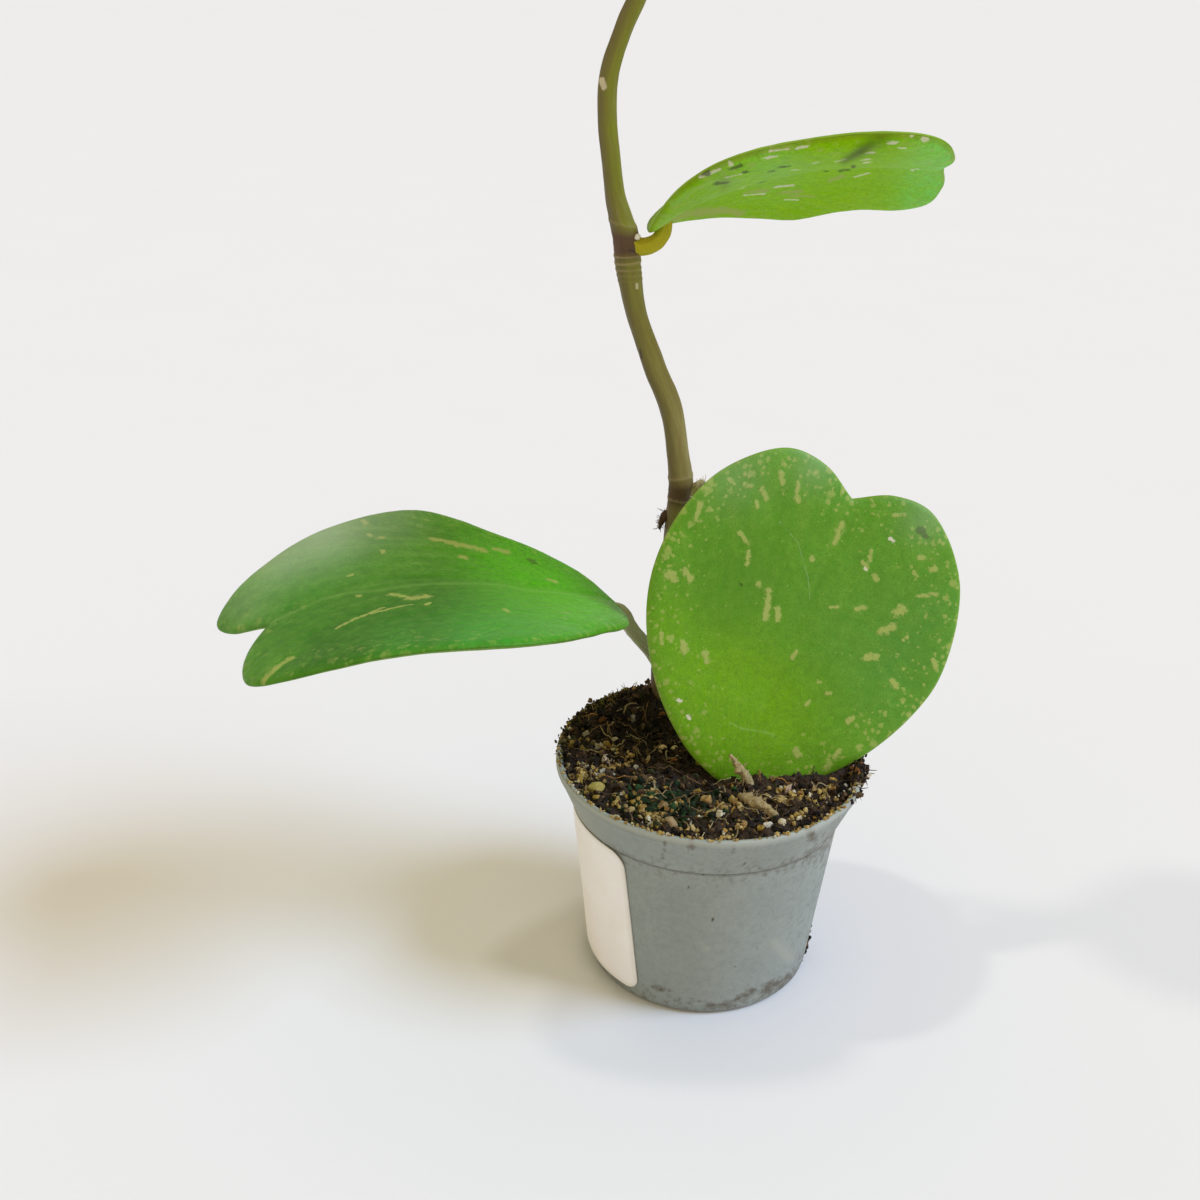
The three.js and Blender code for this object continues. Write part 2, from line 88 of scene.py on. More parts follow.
POT_HEIGHT = 46
POT_WALL = 0.9
RIM_RADIUS = 30
BASE = {"radius": 22.5, "corner": 2, "ring": 2, "plate": 1.2, "floor": 2.1, "pad": 4}
BAND = {"bottom": 36.3, "radius": 26.7, "step": 0.4}
LIP = {"step": 0.3, "low": 2.1, "high": 1.7}  # the small step under the rim, and how far below it that is
RIBS = {"count": 4, "width": 1, "bottom": 0.5, "bite": 0.3}
DRAIN = {"count": 6, "radius": 1.75, "circle": 13, "reach": 4, "sides": 32}
POT_COLUMNS = 256
LABEL_COLUMNS, LABEL_ROWS = 64, 40
RIM_SOIL = 0.85 * pi  # the way towards the soil on the rim
RIM_DIRT = (44.6, 0.6)  # it starts at this height, and is full this much above it
DIRTY_BANDS = [(0, 5, 0.5), (BAND["bottom"], 3, 0.35)]  # height, reach and strength
DIRTY_SIDE = (26, 9, 0.38)  # x, reach and strength
DIRT_INSIDE = 0.55
DUSTY_SIDE = (24, 0.7)  # full this far to the left, and its strength
# Painted highlight: a pale band along the rounded top of the rim.
RIM_HIGHLIGHT = (0.5, 0.8)  # this far below the rim's top, and its reach
# Painted shadow: a dark line at the band's foot, where its lip overhangs.
BAND_SHADOW = (0.1, 0.35)  # this far above the band's foot, and its reach
LABEL = {
    "width": 31,
    "bottom": 2.8,
    "top": 36,
    "corner": 3,
    "azimuth": radians(197.6),
    "gap": 0.08,
    "thickness": 0.25,
    "waves": 7,
    "lifted": 0.5,  # how far its upper corner stands off the pot
}

# ---- The soil's surface: mounds as x, y, height and spread, and stones as x, y, size and colour

SOIL_LEVEL = 44.2
SOIL_RADIUS = 28.3
MOSS = (-7, -15, 7)
BACK_LEFT_SHADE = (-14, 9, 13)  # the middle of a painted shade at the back left, and its reach
SOIL_MOUNDS = [
    (-11, 24, 3.8, 9), (-12, 12, -2.6, 6), (24, 4, 1.6, 8), (2, -6, -0.9, 7), (-24, -2, 0.9, 6),
    (-25, 9, 2.2, 9),
]
WALL_SHARE, WALL_REACH = 0.75, 4  # what is left of a mound's height at the wall, and from how far off
GRIT = [
    (-22.1, -11.4, 2.5, "#b5a455"), (-8.9, 3.9, 1.9, "#dcbc90"), (-6.6, 4.6, 1.5, "#dcc89c"),
    (-8.2, -22.7, 2.9, "#a98d66"), (1.7, -16.3, 2, "#b99a62"), (9.7, -22.1, 2, "#d6cdbc"),
    (12.6, -21.6, 1.9, "#cdbf9f"), (5.2, -21.9, 1.7, "#9c7a4a"), (-13.1, -15.7, 2, "#b5a23e"),
    (-20.2, -2.3, 2.1, "#c9b39a"), (1.9, -11.5, 1.4, "#c7b28c"),
]
BARK_CHIP = (-1.2, -14.1, 2.9)
SOIL_GRID = 290
SOIL_COBBLES = [(3.1, 1, 5), (1.3, 0.6, 6), (0.6, 0.3, 7)]  # size, height and seed
SOIL_SWELL = (5, 0.5, 8)  # the same for soft noise
SOIL_FOOT = {"gap": 0.1, "rise": 1.3, "inset": 1.5}  # off the pot's floor and wall, and the bevel there

# ---- Crumbs and fibres: first the ones spread over the soil, then the ones that lie in one place. Turn,
# reach and z are their turns round the pot's axis, distances from it and heights, as one value, a mean and a
# spread, or limits. Near is how far they stray from a place.

CRUMBS = {"edge": 0.4, "size": (0.35, 1.7)}  # the smallest size, and how much larger the largest are
FIBRES = {"edge": 3, "length": (2.5, 10), "width": (0.14, 0.42), "hump": (0.35, 0.9)}
GRAINS = {"clusters": 30, "each": 14, "turn": (0.95 * pi, 1.9 * pi), "reach": (15, 27), "near": 1.2}
CLUMP = {"count": 260, "turn": (-0.17, 0.13), "reach": (29.3, 0.6), "z": (45.7, 0.7)}
ON_RIM = {"count": 190, "turn": (0.85 * pi, tau), "reach": (29.5, 0.17), "z": 46.1}
HEAP = {"count": 620, "turn": (0.78 * pi, 0.42), "reach": (29, 0.5), "z": (46, 0.2)}
AT_WALL = {"count": 300, "reach": 27.9, "z": 44.6, "near": 0.5}
ON_FOOT = {"count": 34, "turn": (-0.16, 0.08), "z": (1.5, 7.5), "gap": 0.1}
TUFTS = {"count": 170, "place": (-17, 20, 0), "near": (8, 5, 0), "length": (0.9, 2.8)}
HANGING = {"count": 34, "turn": (-0.15, 0.14), "reach": 29.5, "z": 46.1, "near": 0.3, "length": (1, 3.6)}
FINE_WIDTH = (0.12, 0.26)  # of both

# ---- Routes of the stem, the stubs and the roots: x, y, z and radius

STEM_ROUTE = [
    (-6.5, 11, 15, 1.7), (-7.6, 17, 30, 2.1), (-8.4, 22, 46.5, 2.4), (-8.7, 20.6, 53.8, 2.6),
    (-8.6, 19.4, 59, 2.3), (-8.4, 17.6, 70.9, 2.25), (-8.2, 15.9, 84.7, 2.15), (-8, 15.2, 91.2, 2.05),
    (-7.5, 14.7, 96.2, 2.38), (-8.4, 14, 103.3, 2.1), (-10.2, 13.2, 112.5, 2.1), (-14, 12.4, 121.5, 2.05),
    (-17.1, 11.6, 130.1, 1.8), (-18.9, 11, 138.4, 2.2), (-19.4, 10.5, 143.6, 2.4),
    (-20.3, 10.2, 146.8, 2.15), (-21.6, 10, 151.2, 1.8), (-22.6, 9.6, 157.7, 1.7),
    (-23.4, 9.4, 164.1, 1.65), (-23.3, 9.2, 170.5, 1.6), (-21.6, 9.1, 176.7, 1.45), (-19.2, 9, 182.7, 1.5),
    (-16.5, 8.8, 189.5, 1.4), (-14.3, 8.6, 197.5, 1.2), (-13.3, 8.5, 204.5, 0.9), (-13, 8.4, 208.3, 0.25),
]
OLD_LEAF_STUB = [
    (-6.8, 14.6, 95.2, 1.2), (-5.4, 14.5, 95.6, 1.05), (-3.9, 14, 97.2, 0.9), (-3.1, 13.8, 97.9, 0.4),
]
ROOT_STUB = [
    (-9.2, 15.2, 90.5, 0.95), (-10.1, 15.2, 90, 0.85), (-10.8, 15, 88.7, 0.6), (-11.1, 15, 87.2, 0.2),
]
LEAF_ROOT = [
    (8, -7.8, 42.6, 0.7), (6.9, -8.2, 45.8, 0.9), (4.9, -8.4, 48.8, 0.8), (3.4, -8.2, 51, 0.3),
]
ROOTLET_CHUNK = [
    (5.2, -12.4, 44.7, 0.5), (7.5, -14.8, 45, 1.05), (9.8, -17, 44.8, 0.8), (12, -19.3, 44.5, 0.3),
]

STEM_RINGS = [  # scars and ridges round the stem: height, half width, how far it stands out, tilt
    (55.5, 0.5, 0.16, 0.3), (93.9, 0.5, 0.14, -0.3), (98.6, 0.45, 0.12, 0.4), (136.6, 0.25, 0.08, 0.2),
    (137.6, 0.25, 0.1, 0.2), (138.6, 0.3, 0.12, 0.2), (139.8, 0.35, 0.14, 0.3), (141, 0.3, 0.14, 0.2),
    (146.6, 0.5, 0.1, -0.5),
]
RING_HEIGHT = 0.16  # of the highest of them
NODE_HEIGHTS = (53.8, 95.2, 143.2)
STEM_RADIUS = 2.1  # on the whole
STEM_SIDES, STEM_STEPS = 56, 34  # round it, and in each span of its route
STEM_GRAIN = 7  # how much longer the bark's grain is than it is wide
SMOOTH_TIP = (208, 6)  # the bark is smooth from this height, and grows rough over this much below it
YOUNG_STEM = (88, 55)  # it turns green from this height on, over this much
NODE_REACH = {"bumps": 2.2, "colour": 2.6}
SAP_BEAD = (637, 237)  # seen
SAP_SIZE = 1.25
STEM_MARKS = {
    "scar": [(602, 80, 604, 87, 1.1), (637, 284, 637, 288, 0.5), (608, 268, 612, 271, 0.4)],
    "fleck": [(630, 250, 655, 257, 0.5), (598, 330, 601, 352, 0.5), (640, 350, 642, 358, 0.4)],
}

# ---- Leaves. The outline is half a heart from base to notch, as across and along in leaf lengths. Angles are
# degrees: yaw, pitch and roll at the base, arch, sweep and twist of the midrib over its length, the rise at
# which each half leaves the midrib, and its curl over a leaf length. Pairs are for the base and the tip. Face
# is 1 where the leaf's face is on the upper side of its sheet and -1 where it is on the lower one. Gloss is
# the skin's shine, ridges is the height of the fine lines that run along the leaf, and slant is how much
# wider its marks are than they look to the eye. Marks are seen lines with a width, and pools are seen spots
# with a reach and a strength.

FRONT_LEAF = {
    "node": "leaf_front",
    "face": 1,
    "gloss": 0.24,
    "ridges": 0.15,
    "slant": 1.1,
    "thickness": 2.2,
    "base": (4.2, -6, 41),
    "yaw": 49,
    "pitch": 61.4,
    "roll": -46.1,
    "length": 67.5,
    "arch": (3, 7),
    "sweep": -3.2,
    "twist": 4.1,
    "left": {"width": 0.98, "rise": (8.2, 4.8), "curl": (-8.1, -5.8)},
    "right": {"width": 0.948, "rise": (9.1, 5.5), "curl": (-6.5, -10.5)},
    "outline": [
        (0.181, 0.083), (0.368, 0.267), (0.474, 0.523), (0.423, 0.802), (0.254, 0.963), (0.118, 0.966),
        (0, 0.91),
    ],
    "stalk": [(1.8, -9.6, 31, 1.2), (2.3, -8.3, 35.5, 1.4), (3.4, -6.9, 38.8, 1.6), (5.4, -4.6, 44.5, 0.6)],
    "marks": {
        "splash": [
            (768.5, 593, 765.5, 619, 1.25), (778.5, 609, 778.5, 620, 1), (841, 525, 835, 543, 1.25),
            (797.5, 484, 797.5, 500, 1), (781, 472, 783, 483, 1), (741, 533, 748, 542, 0.9),
            (747, 551, 747, 564, 0.9), (668, 576, 672, 578, 1.8), (686, 571, 692, 578, 1.4),
            (704, 652, 706, 661, 1.2), (684, 643, 684, 650, 1.2), (661, 632, 662, 645, 0.7),
            (866, 657, 877, 657, 1.4), (856, 609, 864, 608, 1), (897, 613, 903, 609, 1.7),
            (882, 631, 892, 627, 1.5), (831, 607, 838, 607.5, 0.6), (919, 595, 937, 593, 0.9),
            (930, 570, 935, 568, 1.2), (920, 558, 924, 559, 0.9), (875, 577, 875.5, 580, 1),
            (871, 551, 869, 562, 0.8), (812, 557, 812, 560, 1), (758.5, 582, 759, 586, 1),
            (701, 504, 696, 519, 1), (892, 682, 896, 686, 1.1), (796, 750, 798, 756, 1.2),
            (835, 757, 839, 752, 1), (934, 659, 936, 668, 1), (848, 722, 851, 720, 1),
            (806, 704, 810, 702, 0.8), (827, 693, 831, 693, 0.7), (817, 682, 821, 682, 0.7),
            (796, 651, 792, 658, 0.8), (763, 490, 765, 497, 1), (756, 502, 757, 506, 0.8),
            (744, 484, 752, 487, 0.8), (893, 516, 905, 514, 0.7), (862, 562, 868, 568, 0.7),
            (745, 473, 748, 476, 0.7), (914, 571, 917, 575, 0.8), (904, 640, 908, 637, 0.7),
            (728, 480, 733, 484, 0.7),
        ],
        "scratch": [(780, 523, 798, 542, 0.22), (798, 542, 808, 577, 0.22), (808, 577, 810, 600, 0.2)],
        "vein": [(729, 722, 741, 728, 0.35), (741, 728, 760, 731, 0.4), (760, 731, 773, 734, 0.5)],
        "grain": [
            (891, 538, 894, 540, 0.7), (864, 569, 867, 570, 0.6), (679, 700, 681, 703, 0.6),
            (688, 717, 690, 719, 0.6),
        ],
        "fleck": [(918, 531, 927, 535, 1.2), (923, 527, 922, 531, 0.8), (740, 585, 741, 586, 0.6)],
    },
    # Painted light and shade: a glow where light shows through the leaf, a teal sheen (cool), shade, and a
    # silvery glare.
    "pools": {
        "glow": [
            (706, 702, 11, 0.9), (740, 684, 8, 0.5), (664, 620, 5, 0.5), (770, 728, 11, 0.8),
            (680, 726, 8, 0.6),
        ],
        "cool": [
            (930, 640, 8, 0.25), (850, 655, 11, 0.25), (880, 560, 12, 0.15), (945, 600, 5, 0.3),
            (830, 470, 6, 0.3), (900, 700, 8, 0.3),
        ],
        "shade": [(740, 620, 12, 0.5), (850, 640, 14, 0.35), (905, 665, 9, 0.4), (740, 545, 12, 0.3)],
        "bloom": [(735, 470, 6, 0.25), (815, 465, 4, 0.3), (925, 520, 4, 0.3)],
    },
}
LEFT_LEAF = {
    "node": "leaf_left",
    "face": 1,
    "gloss": 0.15,
    "ridges": 0.9,
    "slant": 1.8,
    "thickness": 2.2,
    "base": (-18.1, 12.5, 71.5),
    "yaw": 205,
    "pitch": 22.5,
    "roll": 4.5,
    "length": 79.8,
    "arch": (-7.5, -101.6),
    "sweep": -0.3,
    "twist": 9.9,
    "left": {"width": 0.979, "rise": (9.5, 0.9), "curl": (15.5, 12.9)},
    "right": {"width": 0.662, "rise": (10.5, 4.2), "curl": (4, 10.2)},
    "outline": [
        (0.186, 0.078), (0.374, 0.271), (0.517, 0.454), (0.42, 0.8), (0.244, 0.985), (0.105, 0.969),
        (0, 0.891),
    ],
    "stalk": [
        (-8.7, 20.2, 54.4, 1.9), (-11.6, 16.9, 59.6, 1.5), (-15.9, 13.8, 66.2, 1.4),
        (-18.3, 12.4, 70.6, 1.5), (-20.6, 11.3, 72.5, 0.7),
    ],
    "marks": {
        "splash": [
            (433, 539, 458, 544, 0.9), (458, 545, 482, 550, 1.2), (494, 549, 508, 552, 0.8),
            (460, 556, 463, 557, 0.9), (392, 594, 404, 596, 0.8), (410, 599, 424, 596, 1.3),
            (336, 628, 366, 615, 0.45), (366, 615, 411, 605, 0.4), (372, 612, 384, 607, 0.45),
            (265, 678, 290, 658, 0.9), (549, 580, 556, 581, 0.7), (505, 610, 507, 611, 0.6),
            (564, 612, 566, 613, 0.6), (357, 595, 359, 596, 0.6), (382, 550, 383, 552, 0.6),
            (348, 576, 353, 575, 0.4), (425, 604, 429, 603, 0.4), (363, 520, 368, 522, 0.6),
            (367, 534, 372, 535, 0.5), (380, 536, 385, 537, 0.6),
        ],
        "vein": [
            (612, 604, 535, 591, 1.1), (535, 591, 434, 584, 1), (434, 584, 382, 590, 0.9),
            (382, 590, 325, 598, 0.8), (325, 598, 272, 622, 0.6),
        ],
        "fleck": [(530, 561, 534, 562, 0.9), (447, 600, 449, 601, 0.3)],
    },
    # Painted light and shade: a glow where light shows through the leaf, a teal sheen (cool), shade, and a
    # silvery glare.
    "pools": {
        "glow": [(562, 570, 11, 1), (500, 546, 8, 0.6), (592, 598, 6, 0.5)],
        "cool": [
            (575, 622, 5, 0.9), (520, 633, 6, 0.9), (470, 640, 6, 0.8), (400, 648, 5, 0.5),
            (300, 600, 9, 0.2),
        ],
        "shade": [
            (520, 606, 7, 0.8), (440, 614, 8, 0.5), (500, 570, 7, 0.3), (330, 655, 10, 1), (400, 645, 9, 1),
            (455, 602, 6, 0.4),
        ],
        "bloom": [
            (310, 535, 6, 0.8), (270, 560, 5, 0.6), (350, 520, 6, 0.6), (240, 600, 5, 0.3),
            (400, 515, 5, 0.3),
        ],
    },
}
UPPER_LEAF = {
    "node": "leaf_upper",
    "face": -1,
    "gloss": 0.03,
    "ridges": 0.4,
    "slant": 2.3,
    "thickness": 2,
    "base": (-15.8, 9.5, 145.4),
    "yaw": -18.8,
    "pitch": 44.1,
    "roll": -4.2,
    "length": 58.1,
    "arch": (-78.1, -22.7),
    "sweep": 6.4,
    "twist": -1.6,
    "left": {"width": 1.103, "rise": (-18.3, -21.9), "curl": (-43.9, -16.1)},
    "right": {"width": 0.919, "rise": (-0.5, 12.5), "curl": (59.9, 44.9)},
    "outline": [
        (0.19, 0.089), (0.436, 0.314), (0.462, 0.574), (0.428, 0.859), (0.253, 0.918), (0.108, 0.907),
        (0, 0.903),
    ],
    "stalk": [
        (-19.4, 10.5, 143.3, 1.7), (-16.8, 10.1, 142.7, 1.55), (-14.4, 9.7, 143.6, 1.4),
        (-13, 9.4, 145.7, 1.25), (-12.3, 9, 148.4, 0.6),
    ],
    "marks": {
        "splash": [
            (678, 217, 694, 213, 1.4), (694, 213, 722, 212, 1.5), (722, 212, 742, 213, 1),
            (783, 192, 800, 192, 0.7), (830, 181, 842, 176, 0.7), (790, 196, 812, 196, 0.5),
            (750, 192, 766, 191, 0.9),
        ],
        "grain": [
            (777, 187, 793, 185.5, 0.6), (793, 170, 798, 169.5, 0.45), (869, 153, 872, 152, 0.45),
            (864, 160, 868, 159, 0.5), (922, 138, 927, 140.5, 0.3), (730, 164, 733, 164, 0.3),
            (735, 187, 742, 188, 0.35), (814, 163, 818, 163, 0.35), (890, 143, 894, 143, 0.4),
            (912, 131, 914, 132, 0.2), (798, 148, 806, 147, 0.2), (865, 163, 869, 162, 0.4),
            (900, 148, 903, 149, 0.4), (745, 195, 765, 194, 0.35), (785, 200, 798, 200, 0.3),
            (770, 152, 790, 149, 0.16), (702, 176, 718, 170, 0.2), (762, 159, 775, 157, 0.3),
            (726, 177, 740, 174, 0.3), (805, 172, 815, 170, 0.3), (836, 161, 846, 159, 0.3),
            (855, 177, 870, 173, 0.25), (912, 171, 918, 169, 0.25),
        ],
        # On this leaf the pale line by the midrib is a painted highlight along the crest.
        "vein": [(673, 204, 694, 189.6, 0.9), (694, 189.6, 714, 182, 0.9), (714, 182, 745, 180, 0.7)],
        "fleck": [
            (732, 167.5, 738, 167, 0.4), (717, 182.5, 725, 182.5, 0.6), (761, 181, 763, 181.5, 0.6),
            (743.5, 172, 746, 172.5, 0.4), (784, 166, 786.5, 167, 0.6), (841, 170.6, 846, 169.8, 0.6),
            (771.5, 170.5, 773.5, 171, 0.5), (704, 172, 706, 173, 0.4), (825, 171, 827, 171.5, 0.3),
            (850, 166, 854, 165, 0.4),
        ],
    },
    # Painted light and shade: a glow where light shows through the leaf, a teal sheen (cool), shade, the
    # shadow along the fold, and a silvery glare.
    "pools": {
        "glow": [
            (770, 205, 10, 0.7), (860, 190, 9, 0.7), (720, 200, 7, 0.6), (830, 150, 7, 0.3),
            (905, 150, 6, 0.4),
        ],
        "cool": [
            (920, 200, 6, 1), (940, 175, 5, 0.8), (930, 150, 5, 0.6), (760, 170, 6, 0.4),
            (780, 172, 5, 0.3),
        ],
        "shade": [(880, 145, 3.5, 0.7), (775, 176, 5, 0.6), (690, 182, 4, 0.6), (725, 190, 5, 0.5)],
        "crease": [
            (843, 162, 0.6, 0.6), (848, 159, 0.7, 0.7), (853, 156, 0.7, 0.7), (858, 153, 0.8, 0.7),
            (863, 150, 0.9, 0.7), (869, 146, 1, 0.6), (876, 141, 1.2, 0.4), (884, 137, 1.2, 0.4),
            (724, 183, 1.4, 0.4),
        ],
        "bloom": [(775, 160, 5, 0.1), (720, 168, 3, 0.15), (925, 150, 4, 0.1)],
    },
}
MARKS = ("splash", "scratch", "vein", "grain", "fleck")
# Kinds of pools, all painted light and shade: glow, teal sheen (cool), shade, shadow along a fold, and glare.
POOLS = ("glow", "cool", "shade", "crease", "bloom")
SPECKLE_CELLS = (2.3, 1.2)  # large and small speckles are at least this far apart
MIDRIB_STEPS = 96
RINGS_INSIDE = 70  # evenly spaced, up to RIM_SHARE of the way out
RINGS_AT_RIM = 16  # closer and closer, over the rounded edge
RIM_SHARE = 0.86
RIM_POWER = 20  # the higher, the tighter the leaf's edge is rounded
OUTLINE_STEPS = 25  # in each span of the outline
CREASE = 2.5  # reach of the rounding along the midrib
RIB = {"height": 0.8, "reach": 1.7}  # the midrib on the underside
FURROW = {"depth": 0.22, "reach": 1.2}  # and on the upper side
WAVES = {"height": 0.3, "size": 11}
STALK_SIDES, STALK_STEPS = 40, 30
STALK_GROOVES = [(3, 0.09, 0), (7, 0.06, 1)]  # how many run round it, how deep, and the angle they start at
STALK_JOINT = {"share": 0.13, "height": 0.25}  # the thicker stretch at the stem


# ---- Numbers for surfaces


def lattice(cells, seed):
    """A repeatable random number from 0 to 1 for each row of three whole numbers: their bits, mixed twice."""
    bits = (cells * np.array([374761393, 668265263, 1274126177])).sum(-1) + seed * 362437
    bits = ((bits ^ (bits >> 15)) & 0xFFFFFFFF) * 2246822519 & 0xFFFFFFFF
    bits = (bits ^ (bits >> 13)) * 3266489917 & 0xFFFFFFFF
    return (bits ^ (bits >> 16)) / 0xFFFFFFFF


def noise(points, size, seed):
    """Smooth noise from -1 to 1: the lattice numbers of the eight corners around a point, blended."""
    place = points / size
    cell = np.floor(place).astype(np.int64)
    part = place - cell
    part = part * part * (3 - 2 * part)
    total = 0
    for corner in itertools.product((0, 1), repeat=3):
        weight = np.where(corner, part, 1 - part).prod(-1)
        total = total + weight * lattice(cell + corner, seed)
    return 2 * total - 1


def rough(points, size, seed, octaves=4):
    """Noise added up over octaves, each with half the size and half the height of the one before."""
    return sum(noise(points, size / 2**k, seed + k) / 2**k for k in range(octaves))


def hill(away):
    """A bell curve: 1 where away is 0, and falling off on both sides."""
    return np.exp(-(away**2))


def cobbles(points, size, seed):
    """Lumps from 0 to 1 in plan: one less the distance to the nearest of the scattered centres."""
    place = points[..., :2] / size
    cell = np.floor(place).astype(np.int64)
    nearest = np.full(place.shape[:-1], np.inf)
    for step in itertools.product((-1, 0, 1), repeat=2):
        home = cell + step
        key = np.concatenate([home, np.zeros_like(home[..., :1])], -1)
        centre = home + np.stack([lattice(key, seed), lattice(key, seed + 1)], -1)
        nearest = np.minimum(nearest, np.linalg.norm(place - centre, axis=-1))
    return 1 - nearest.clip(0, 1)


def unit(vectors):
    """The same directions with length 1."""
    return vectors / np.linalg.norm(vectors, axis=-1, keepdims=True)


def smooth_route(points, steps):
    """A centripetal Catmull-Rom curve through a route, with its radius carried along: on each span a cubic
    whose end slopes come from the three nearest gaps, each weighted by the square root of its length."""
    route = np.array(points, float)
    route = np.vstack([2 * route[0] - route[1], route, 2 * route[-1] - route[-2]])
    spans = len(points) - 1
    place = np.linspace(0, spans, spans * steps + 1)
    index = np.minimum(place.astype(int), spans - 1)
    t = (place - index)[:, None]
    a, b, c, d = (route[index + k] for k in range(4))
    ab, bc, cd = (np.linalg.norm((q - p)[:, :3], axis=1)[:, None] ** 0.5 for p, q in ((a, b), (b, c), (c, d)))
    start = ((b - a) / ab - (c - a) / (ab + bc) + (c - b) / bc) * bc
    end = ((c - b) / bc - (d - b) / (bc + cd) + (d - c) / cd) * bc
    bend = (2 * t**3 - 3 * t**2 + 1) * b + (t**3 - 2 * t**2 + t) * start
    return bend + (3 * t**2 - 2 * t**3) * c + (t**3 - t**2) * end


def ring_axes(centres, sides, reference=(0, 1, 0)):
    """Outward directions of the rings round a route: cosine across it and sine along the third axis."""
    along = unit(np.gradient(centres, axis=-2))
    across = unit(np.cross(reference, along))
    third = np.cross(along, across)
    turn = np.arange(sides) * tau / sides
    return across[..., None, :] * np.cos(turn)[:, None] + third[..., None, :] * np.sin(turn)[:, None]


def camera_axes():
    """The camera's right, up and forward directions."""
    down, roll = CAMERA["down"], CAMERA["roll"]
    level, upright = np.array([1, 0, 0]), np.array([0, sin(down), cos(down)])
    right = cos(roll) * level + sin(roll) * upright
    up = cos(roll) * upright - sin(roll) * level
    return right, up, np.array([0, cos(down), -sin(down)])


def seen_at(points):
    """The pixel at which the camera sees each point: its place across and up, over its depth."""
    right, up, forward = camera_axes()
    away = points - np.array(CAMERA["place"])
    scale = IMAGE * CAMERA["lens"] / CAMERA["sensor"] / (away @ forward)
    return np.stack([IMAGE / 2 + scale * (away @ right), IMAGE / 2 - scale * (away @ up)], -1)


def strokes(places, lines, per_mm=PIXELS_PER_MM):
    """How near each place is to the marks: 1 on a mark's middle line, falling to 0 its width away."""
    nearest = np.zeros(places.shape[:-1])
    for x0, y0, x1, y1, width in lines:
        start, run = np.array([x0, y0]), np.array([x1 - x0, y1 - y0])
        part = ((places - start) @ run / max(run @ run, TINY)).clip(0, 1)
        away = np.linalg.norm(places - start - part[..., None] * run, axis=-1) / per_mm
        nearest = np.maximum(nearest, 1 - away / width)
    return nearest


def laid_out(seen, flat, lines, slant):
    """Seen lines as lines on the flat leaf: each end goes to the flat place that is seen nearest to it, and
    the width grows by the leaf's slant away from the eye."""
    for x0, y0, x1, y1, width in lines:
        start, end = (flat[np.linalg.norm(seen - spot, axis=-1).argmin()] for spot in ((x0, y0), (x1, y1)))
        yield *start, *end, width * slant


def pools(seen, spots):
    """Soft round spots, each a bell curve of its reach in millimetres, added up to at most 1."""
    total = np.zeros(seen.shape[:-1])
    for x, y, reach, strength in spots:
        away = np.linalg.norm(seen - (x, y), axis=-1) / PIXELS_PER_MM / reach
        total += strength * hill(away)
    return total.clip(0, 1)


# ---- Meshes


def sheet_faces(corner, closed=True):
    """Four-sided faces between the rows of a grid of corner numbers; closed joins its last column to its
    first."""
    after = np.roll(corner, -1, axis=1)
    if not closed:
        corner, after = corner[:, :-1], after[:, :-1]
    return np.stack([corner[:-1], after[:-1], after[1:], corner[1:]], -1).reshape(-1, 4)


def tube_faces(rows, columns):
    """Faces of a closed skin: rings of corners, then one corner for each end, with a fan round it."""
    corner = np.arange(rows * columns).reshape(rows, columns)
    count = rows * columns
    fans = []
    for ring, end in ((corner[0, ::-1], count), (corner[-1], count + 1)):
        fans.append(np.stack([np.full(columns, end), ring, np.roll(ring, -1)], -1))
    return [sheet_faces(corner), *fans]


def closed_skin(rings, first=None, last=None):
    """Points and faces of the skin through rings, closed at each end to a point, or to the ring's middle."""
    first = rings[0].mean(0) if first is None else first
    last = rings[-1].mean(0) if last is None else last
    return np.vstack([rings.reshape(-1, 3), [first], [last]]), tube_faces(*rings.shape[:2])


def outward(points, faces):
    """The faces of a closed mesh, turned over where its signed volume says that they point inwards."""
    volume = 0
    for group in faces:
        corners = points[group]
        for k in range(1, group.shape[1] - 1):
            volume += (corners[:, 0] * np.cross(corners[:, k], corners[:, k + 1])).sum()
    return faces if volume > 0 else [group[:, ::-1] for group in faces]


def joined(*parts):
    """One set of points and faces from several."""
    starts = np.cumsum([0] + [len(points) for points, _ in parts])
    faces = [group + start for (_, groups), start in zip(parts, starts) for group in groups]
    return np.vstack([points for points, _ in parts]), faces


def repeated(points, faces):
    """One set of points and faces from an array of like shapes and the faces of one of them."""
    count, size = points.shape[:2]
    shift = (np.arange(count) * size)[:, None, None]
    faces = [(group + shift).reshape(-1, group.shape[1]) for group in faces]
    return points.reshape(-1, 3), faces


def new_mesh(name, points, faces):
    """A mesh in metres from points in millimetres and groups of faces, turned to face outwards."""
    faces = outward(points, faces)
    mesh = bpy.data.meshes.new(name)
    mesh.vertices.add(len(points))
    mesh.vertices.foreach_set("co", (points * MM).astype(np.float32).ravel())
    sizes = np.concatenate([np.full(len(group), group.shape[1]) for group in faces])
    mesh.loops.add(int(sizes.sum()))
    corners = np.concatenate([group.ravel() for group in faces])
    mesh.loops.foreach_set("vertex_index", corners.astype(np.int32))
    mesh.polygons.add(len(sizes))
    mesh.polygons.foreach_set("loop_start", np.concatenate([[0], np.cumsum(sizes)[:-1]]).astype(np.int32))
    mesh.update(calc_edges=True)
    return mesh


